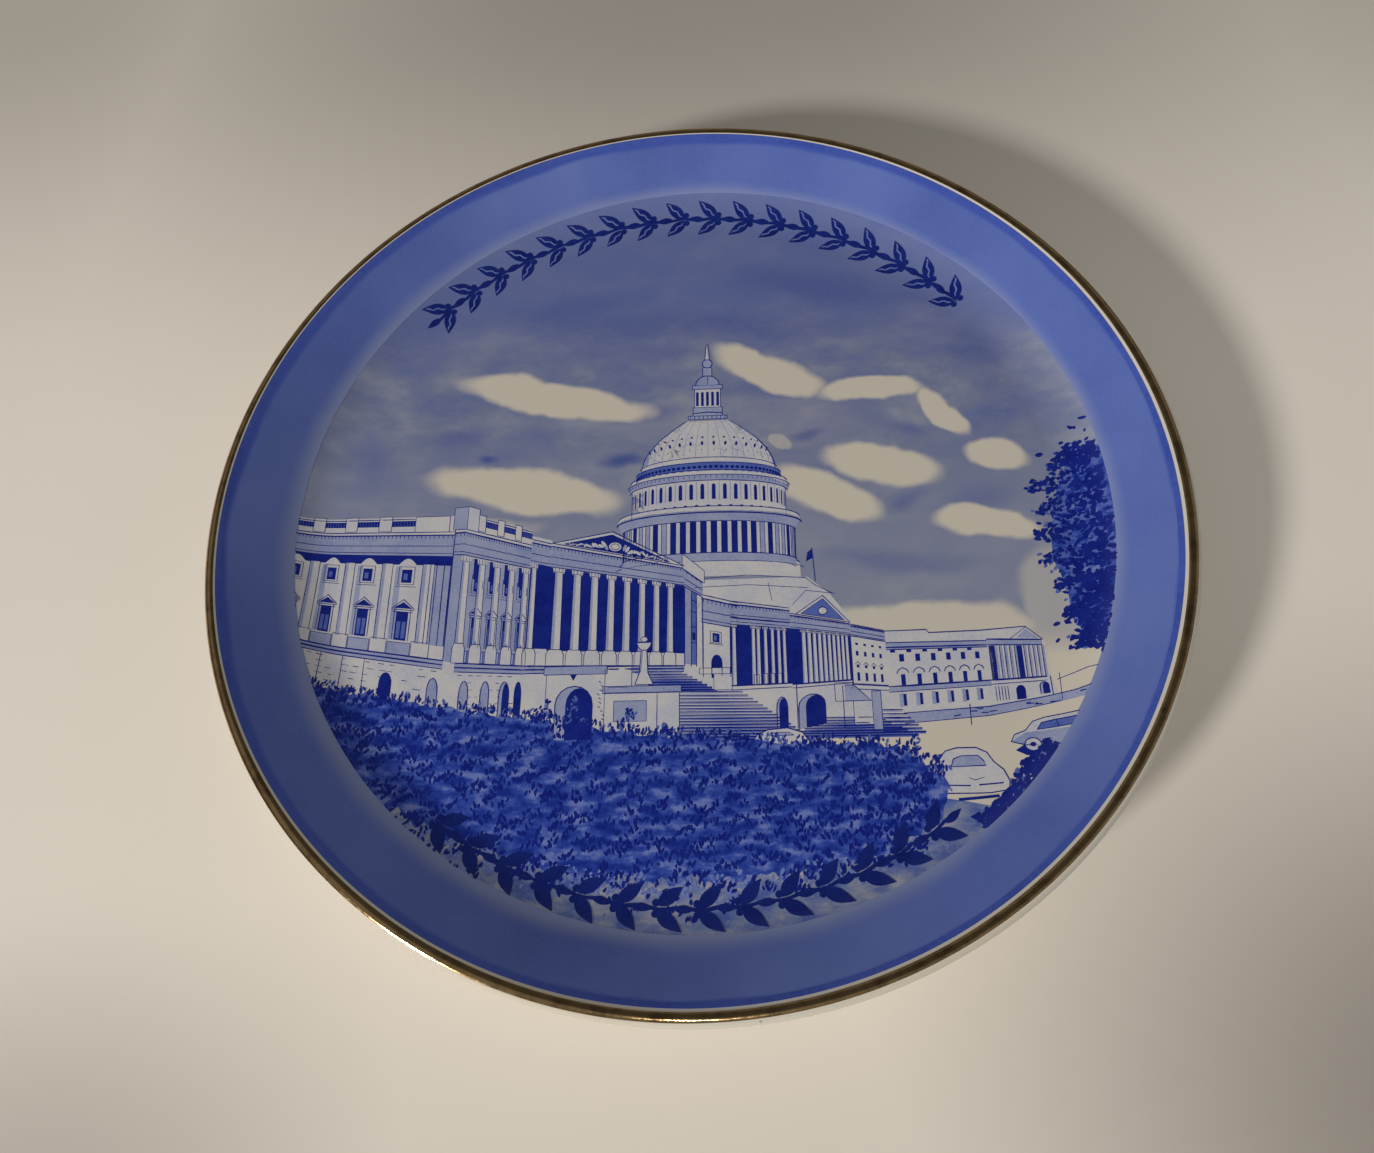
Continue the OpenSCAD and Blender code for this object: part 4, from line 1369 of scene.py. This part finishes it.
def addHedge():
    rng = random.Random(8)
    patches = []
    low = hedge["low"] + [hedge["top"][0]]
    washTop = ragged(rng, hedge["top"], 0.8, (-0.5, 0.7))
    patches.append((tone["hedgeWash"], 8, washTop + lobed(rng, hedge["top"][-1:] + low, 1.5)))
    # sprays of short upright dabs, set in loose rows
    count = 0
    for row in range(hedge["rows"]):
        x = -92 + rng.uniform(0, 3)
        while x < 55:
            reach = rng.uniform(*hedge["spray"])
            x += reach * 0.5 + rng.uniform(0.1, 0.8)
            top, foot = interpolate(hedge["top"], x), interpolate(hedge["low"], x)
            if top is not None and foot is not None:
                depth = (row + rng.uniform(-0.3, 0.5)) / (hedge["rows"] - 2)
                y = top + 0.4 - (top - foot + 4) * depth + rng.gauss(0, 0.7)
                thin = max(0, (depth - 0.74) / 0.3)
                keep = clump(x, y) + 0.5 > rng.random() and rng.random() > 0.8 * thin
                for k in range(int(reach / hedge["pitch"]) if keep else 0):
                    side = 2 * k * hedge["pitch"] / reach - 1
                    place = (x + side * reach / 2 + rng.gauss(0, 0.1),
                             y - 0.5 * side * side + rng.gauss(0, 0.42))
                    shape = dab(rng, *place, rng.uniform(0.23, 0.37), rng.gauss(84 - 20 * side, 17),
                                rng.uniform(1.6, 2.7))
                    patches.append((tone["dark"], dabLayer(10, count), shape))
                    count += 1
            x += reach * 0.5
    # loose dabs under the hedge, where it fades into the lawn
    for count in range(hedge["below"]):
        x = rng.uniform(-84, 46)
        y = interpolate(hedge["low"], x) + rng.gauss(-1.2, 1.5)
        shade = "dark" if rng.random() < 0.3 else "leafLight"
        shape = dab(rng, x, y, rng.uniform(0.25, 0.42), rng.gauss(70, 25), 1.8)
        patches.append((tone[shade], dabLayer(9, count), shape))
    for count in range(hedge["tufts"]):
        x = rng.uniform(-88, 50)
        y = interpolate(hedge["top"], x) + rng.uniform(-0.6, 1.2)
        length = rng.uniform(0.5, 1.3)
        lean = rng.uniform(-0.35, 0.6)
        blade = [(x, y), (x + lean * 0.5, y + length * 0.5), (x + lean, y + length)]
        shade = "dark" if rng.random() < 0.7 else "mid"
        patches.append((tone[shade], dabLayer(10, count), penLine(blade, 0.42, 0.45, rng)))
    # sprigs that stand up above the hedge
    for x, y, tall in hedge["sprigs"]:
        for count in range(30):
            share = rng.random()
            px = x + rng.gauss(0, 1.5 * (1.15 - share)) + 0.6 * share
            shade = "dark" if rng.random() < 0.6 else "mid"
            shape = dab(rng, px, y + tall * share, rng.uniform(0.2, 0.36), rng.gauss(75, 30), 2)
            patches.append((tone[shade], dabLayer(10, count), shape))
    # the end of another hedge, against the ground's edge
    for count in range(hedge["farDabs"]):
        angle = rng.uniform(*hedge["farSweep"])
        radius = rng.uniform(hedge["farRadius"] + 1.5 * abs(math.sin(angle * 0.3)), 90.5)
        shade = "dark" if rng.random() < 0.75 else "mid"
        shape = dab(rng, radius * cosD(angle), radius * sinD(angle), rng.uniform(0.25, 0.5),
                    rng.gauss(45, 25), 1.9)
        patches.append((tone[shade], dabLayer(10 if shade == "dark" else 9, count), shape))
    layPrint("hedgePrint", "hedge_print", patches, printFinishes)


tree = {"branches": [(14, 88, 79, 9), (7, 88, 74, 4), (0.5, 88, 75, -1.5), (-5, 88, 74, -7.5),
                     (-11, 88, 74.5, -13.5), (-17, 87, 77, -19.5), (-22, 87, 79, -26),
                     (-29, 86, 79.5, -32), (11, 88, 83, 11)],
        "leaves": 110, "crown": 520}


def addTree():
    rng = random.Random(14)
    patches = []
    for y0, x0, x1, y1 in tree["branches"]:
        for count in range(tree["leaves"]):
            share = rng.random() ** 0.8
            x = x0 + (x1 - x0) * share + rng.gauss(0, 0.5)
            y = y0 + (y1 - y0) * share + rng.gauss(0, 2.2 * (1.05 - share) + 0.5)
            shade = "dark" if rng.random() < 0.76 else "mid"
            shape = dab(rng, x, y, rng.uniform(0.24, 0.48), rng.gauss(30, 32), 1.7)
            patches.append((tone[shade], dabLayer(6 if shade == "dark" else 5, count), shape))
    for count in range(tree["crown"]):
        y = rng.uniform(-34, 13.5)
        limit = math.sqrt(clipRadius ** 2 - y * y)
        x = limit - abs(rng.gauss(0, 3.6))
        shade = "mid" if rng.random() < 0.3 else "dark"
        shape = dab(rng, x, y, rng.uniform(0.3, 0.6), rng.gauss(25, 35), 1.7)
        patches.append((tone[shade], dabLayer(4 if shade == "mid" else 7, count), shape))
    shadow = [(92, 14.5), (87, 12.5), (82.5, 7), (78.5, 0), (77, -12), (79, -20), (79, -27),
              (83, -33.5), (92, -33)]
    patches.append((tone["hedgeWash"], 3, ragged(rng, shadow, 0.9, (-1.3, 1.3))))
    layPrint("treePrint", "tree_print", patches, printFinishes)


def addLawn():
    rng = random.Random(3)
    patches = []
    # blotchy wash under the lower garland
    wash = []
    for k in range(60):
        angle = -146 + 99 * k / 59
        wash.append((92 * cosD(angle), 92 * sinD(angle)))
    for k in range(60):
        angle = -47 - 99 * k / 59
        radius = max(64, 90 - 3.2 * k) + rng.uniform(-1, 1)
        wash.append((radius * cosD(angle), radius * sinD(angle)))
    patches.append((tone["lawnWash"], 1, wash))
    for count in range(90):
        angle = rng.uniform(-140, -56)
        radius = rng.uniform(76, 88)
        shape = dab(rng, radius * cosD(angle), radius * sinD(angle), rng.uniform(0.2, 0.36),
                    rng.uniform(40, 110), 1.8)
        patches.append((tone["leafLight"], dabLayer(2, count), shape))
    layPrint("lawnPrint", "lawn_print", patches, printFinishes)


def addCars():
    draw = Drawing()
    # seen from behind, on the drive
    body = [(48.2, -60.5), (47.6, -57.8), (48.6, -56), (50.4, -54.2), (52.6, -53.6), (56.4, -53.6),
            (58.4, -54.6), (59.6, -56.6), (61.2, -58.2), (62.0, -60.6), (61.6, -62.4), (58, -62.8),
            (50, -62.6)]
    draw.fill("white", 5, body)
    draw.line(body + body[:1], "pen", 7)
    pane = [(51.2, -57.4), (51.8, -55.8), (53.4, -55.2), (56.6, -55.2), (57.6, -56.2), (58.0, -57.2)]
    draw.fill("pale", 6, pane)
    draw.line(pane + pane[:1], "pen", 7)
    draw.line([(49.6, -61.0), (54.6, -61.2)], "bold", 7)
    draw.line([(56.2, -61.1), (60.8, -60.9)], "bold", 7)
    draw.line([(54.4, -59.6), (55.6, -60.1), (57.4, -59.6)], "fine", 7)
    draw.line([(52, -63.9), (59.6, -63.5)], 0.8, 7)
    for x in (48.8, 49.6, 50.3):
        draw.fill("dark", 6, oval(x, -57.6, 0.28, 0.75))
    # seen from the side, by the ground's edge
    side = [(63.4, -52.6), (64.2, -51.2), (66.4, -50.4), (68, -48.6), (70.4, -47.9), (77, -47.2),
            (82, -48), (82, -53.4), (70, -53.8), (66, -53.4)]
    draw.fill("white", 5, side)
    draw.fill("pale", 6, [(63.4, -52.6), (66.4, -50.8), (82, -50.2), (82, -53.4), (70, -53.8), (66, -53.4)])
    draw.line(side + side[:1], "pen", 8)
    glass = [(68.6, -50.4), (69.6, -49.0), (72, -48.6), (76.6, -48.2), (76.8, -49.8)]
    draw.fill("mid", 7, glass)
    draw.line(glass + glass[:1], "pen", 8)
    draw.line([(72.4, -48.6), (72.6, -50.2)], "pen", 8)
    draw.fill("dark", 4, [(64, -54.4), (66, -53.2), (84, -52.6), (84, -55.4), (66, -55.6)])
    draw.fill("white", 8, oval(67.4, -53.4, 1.5, 1.35, 0, 18))
    draw.line(oval(67.4, -53.4, 1.5, 1.35, 0, 18) + [(68.9, -53.4)], "pen", 9)
    draw.fill("dark", 9, oval(67.4, -53.4, 0.6, 0.5, 0, 10))
    # the roof of a third one, behind the hedge
    roof = [(12, -52.2), (13.2, -50.2), (15.4, -49.1), (19.4, -48.8), (22.4, -49.8), (24.2, -52.2)]
    draw.fill("white", 7, roof)
    draw.line(roof, "pen", 9)
    small = [(15.2, -50.4), (16, -49.8), (19.6, -49.7), (20.6, -50.3)]
    draw.fill("pale", 8, small)
    draw.line(small + small[:1], "fine", 9)
    layPrint("carPrint", "car_print", draw.patches, printFinishes)


# the two garlands
garland = {"radius": 84, "leafLength": 6.4, "leafWidth": 3.0, "vein": 0.36,
           "upper": (90, 50, 18), "lower": (-90, 38, 14)}


def leafPoints(x, y, length, width, tilt):
    points = []
    for side in (1, -1):
        for i in range(9):
            share = i / 9 if side == 1 else 1 - i / 9
            bulge = math.sin(math.pi * share ** 0.85) * (1 - 0.15 * share)
            points.append((-length / 2 + length * share, side * width / 2 * bulge))
    return [(x + u * cosD(tilt) - v * sinD(tilt), y + u * sinD(tilt) + v * cosD(tilt)) for u, v in points]


def addGarland(name, node, middle, sweep, sprigs, veined, finishes):
    rng = random.Random(len(name) + sprigs)
    patches = []
    radius = garland["radius"]
    for i in range(sprigs):
        angle = middle + sweep * (2 * (i + 0.5) / sprigs - 1)
        ax, ay = radius * cosD(angle), radius * sinD(angle)

        def place(points):
            return [(ax + px * cosD(angle + 90) - py * sinD(angle + 90),
                     ay + px * sinD(angle + 90) + py * cosD(angle + 90)) for px, py in points]

        for side in (1, -1):
            tilt = side * (40 + rng.uniform(-4, 4))
            shape = leafPoints(-0.3, side * 2.4, garland["leafLength"] * rng.uniform(0.95, 1.05),
                               garland["leafWidth"], tilt)
            patches.append((0, 11, place(shape)))
            if veined:
                wave = []
                for k in range(9):
                    u = -2.3 + 4.7 * k / 8
                    v = 0.22 * math.sin(k * 1.55)
                    wave.append((-0.3 + u * cosD(tilt) - v * sinD(tilt),
                                 side * 2.4 + u * sinD(tilt) + v * cosD(tilt)))
                patches.append((1, 12, penLine(place(wave), garland["vein"], 0.4, rng)))
        small = leafPoints(2.6, 0.0, 4.2, 1.7, rng.uniform(-8, 8))
        patches.append((0, 11.15, place(small)))
        for side in (1, -1):
            patches.append((0, 11.3, place(oval(-3.0, side * 1.05, 0.72, 0.72, 0, 14))))
    steps = sprigs * 6
    stem = []
    for i in range(steps + 1):
        angle = middle + sweep * (2 * i / steps - 1) * 0.985
        swing = radius + 0.25 * math.sin(i * math.pi / 3)
        stem.append((swing * cosD(angle), swing * sinD(angle)))
    patches.append((0, 10, penLine(stem, 0.75, 0.3, rng)))
    layPrint(name, node, patches, finishes)


# floor, lamps and camera
studio = {
    # the second floor colour is the table's colour where the painted shade is full
    "floor": (0.965, 0.90, 0.81), "floorPaintedShade": (0.345, 0.310, 0.275), "floorSize": 3.0,
    # painted shade on the table, standing in for uneven lamplight: middle, half sizes, tilt and strength
    "paintedShadePlaces": [(0, 185, 280, 150, 0, 0.85), (150, -125, 120, 105, 0, 1.0), (-125, -140, 90, 60, 0, 0.6),
                  (-20, -165, 170, 80, 0, 0.22),
                  (-215, 195, 170, 140, 0, 0.6), (195, 175, 140, 110, 0, 0.45)],
    "lampPlace": (-1.80, -1.595, 1.226), "lampSize": 0.36, "lampPower": 49, "lampColour": (1, 0.965, 0.91),
    "sparkPlace": (-0.055, -0.36, 0.775), "sparkSize": 0.010, "sparkPower": 0.9,
    "skyLight": 0.29, "darkCeiling": (0, 0.42, 0.9075),
    "roomTones": [(0.0, (0.19, 0.16, 0.13)), (0.30, (0.41, 0.38, 0.35)), (0.62, (0.92, 0.91, 0.89)),
                  (1.0, (0.97, 0.98, 1.0))],
}


def addFloor():
    size = studio["floorSize"]
    verts = [(-size, -size, 0), (size, -size, 0), (size, size, 0), (-size, size, 0)]
    floor = makeObject("tableTop", verts, [(0, 1, 2, 3)], smooth=False)
    finish, tree, shader, coords = newFinish("paleTable")
    # painted shade: the table's colour darkens in soft patches where the lamplight falls off
    paintedShadeMask = addOvals(tree, coords, studio["paintedShadePlaces"], 0.05)
    cloud = addRange(tree, addNoise(tree, coords, 9, 3), 0.35, 0.7, 0, 0.10)
    colour = addMix(tree, cloud, addMix(tree, paintedShadeMask, studio["floor"], studio["floorPaintedShade"]), (0.70, 0.62, 0.54))
    tree.links.new(colour, shader.inputs["Base Color"])
    setGloss(tree, shader, coords, 0.55, 0.68, 30)
    addBump(tree, shader, addNoise(tree, coords, 700, 3), 0.08, 0.0001)
    floor.data.materials.append(finish)


def addLamp(name, place, target, size, power, colour, shape="DISK"):
    data = bpy.data.lights.new(name, "AREA")
    data.shape = shape
    data.size = size
    data.energy = power
    data.color = colour
    lamp = bpy.data.objects.new(name, data)
    lamp.location = place
    lamp.rotation_euler = (Vector(target) - Vector(place)).to_track_quat("-Z", "Y").to_euler()
    bpy.context.scene.collection.objects.link(lamp)
    return lamp


def addStudio():
    addFloor()
    addLamp("mainLamp", studio["lampPlace"], (0, 0, 0.01), studio["lampSize"], studio["lampPower"],
            studio["lampColour"])
    addLamp("sparkLamp", studio["sparkPlace"], (0, -0.1, 0.02), studio["sparkSize"], studio["sparkPower"],
            (1, 0.95, 0.85))
    world = bpy.data.worlds.new("room")
    bpy.context.scene.world = world
    world.use_nodes = True
    tree = world.node_tree
    background = tree.nodes["Background"]
    coords = tree.nodes.new("ShaderNodeTexCoord").outputs["Generated"]
    split = addNode(tree, "ShaderNodeSeparateXYZ", Vector=coords)
    height = addRange(tree, split.outputs["Z"], -0.1, 1.0, 0, 1)
    colour = addRamp(tree, height, studio["roomTones"])
    tree.links.new(colour, background.inputs["Color"])
    toward = addNode(tree, "ShaderNodeVectorMath", {"operation": "DOT_PRODUCT"}, i0=coords)
    toward.inputs[1].default_value = studio["darkCeiling"]
    dark = addRange(tree, toward.outputs["Value"], 0.78, 0.95, studio["skyLight"],
                    0.3 * studio["skyLight"], True)
    tree.links.new(dark, background.inputs["Strength"])


view = {"place": (0.013656, -0.106367, 0.21676), "target": (-0.00024, -0.01935, 0.01953), "lens": 27.5}


def addCamera():
    data = bpy.data.cameras.new("tableView")
    data.lens = view["lens"]
    data.sensor_width = 36
    data.clip_start = 0.01
    data.dof.use_dof = False
    camera = bpy.data.objects.new("tableView", data)
    forward = (Vector(view["target"]) - Vector(view["place"])).normalized()
    right = forward.cross(Vector((0, 1, 0))).normalized()
    upward = right.cross(forward)
    turned = Matrix((right, upward, -forward)).transposed().to_4x4()
    camera.matrix_world = Matrix.Translation(view["place"]) @ turned
    bpy.context.scene.collection.objects.link(camera)
    bpy.context.scene.camera = camera
    bpy.context.scene.view_settings.view_transform = "Standard"


addCamera()
addStudio()
print("table, lamps and camera set")
addTurnedPieces()
addBands()
print("turned pieces and bands made")
printFinishes = [
    cobaltFinish("bluedWhite", (0.47, 0.495, 0.64), (0.64, 0.625, 0.63), 1800, 130),
    cobaltFinish("paleWash", (0.21, 0.265, 0.52), (0.36, 0.395, 0.58), 1800, 150),
    cobaltFinish("midWash", (0.045, 0.085, 0.40), (0.105, 0.155, 0.49), 1500, 200),
    cobaltFinish("darkCobalt", (0.0005, 0.0045, 0.165), (0.006, 0.020, 0.26), 2200, 300),
    cobaltFinish("leafLight", (0.085, 0.14, 0.48), (0.19, 0.25, 0.58), 1500, 260),
    washFinish("hedgeWash", [(0.38, (0.008, 0.028, 0.29)), (0.47, (0.022, 0.056, 0.38)),
                             (0.54, (0.052, 0.100, 0.46)), (0.63, (0.170, 0.225, 0.57))], 330, (0.6, 1.3, 1)),
    washFinish("lawnWash", [(0.37, (0.085, 0.130, 0.42)), (0.46, (0.165, 0.215, 0.44)),
                            (0.56, (0.270, 0.300, 0.45)), (0.68, (0.42, 0.42, 0.49))], 240, (0.7, 1.2, 1)),
]
for addPrint in (addSky, addLawn, addBuilding, addTree, addCars, addHedge):
    addPrint()
garlandFinishes = [cobaltFinish("garlandCobalt", (0.0005, 0.006, 0.125), (0.006, 0.020, 0.20), 1800, 260),
                   cobaltFinish("garlandVein", (0.09, 0.135, 0.42), (0.16, 0.21, 0.48), 1800, 200)]
addGarland("upperGarland", "upper_garland", *garland["upper"], True, garlandFinishes)
addGarland("lowerGarland", "lower_garland", *garland["lower"], False, garlandFinishes)
print("prints laid")
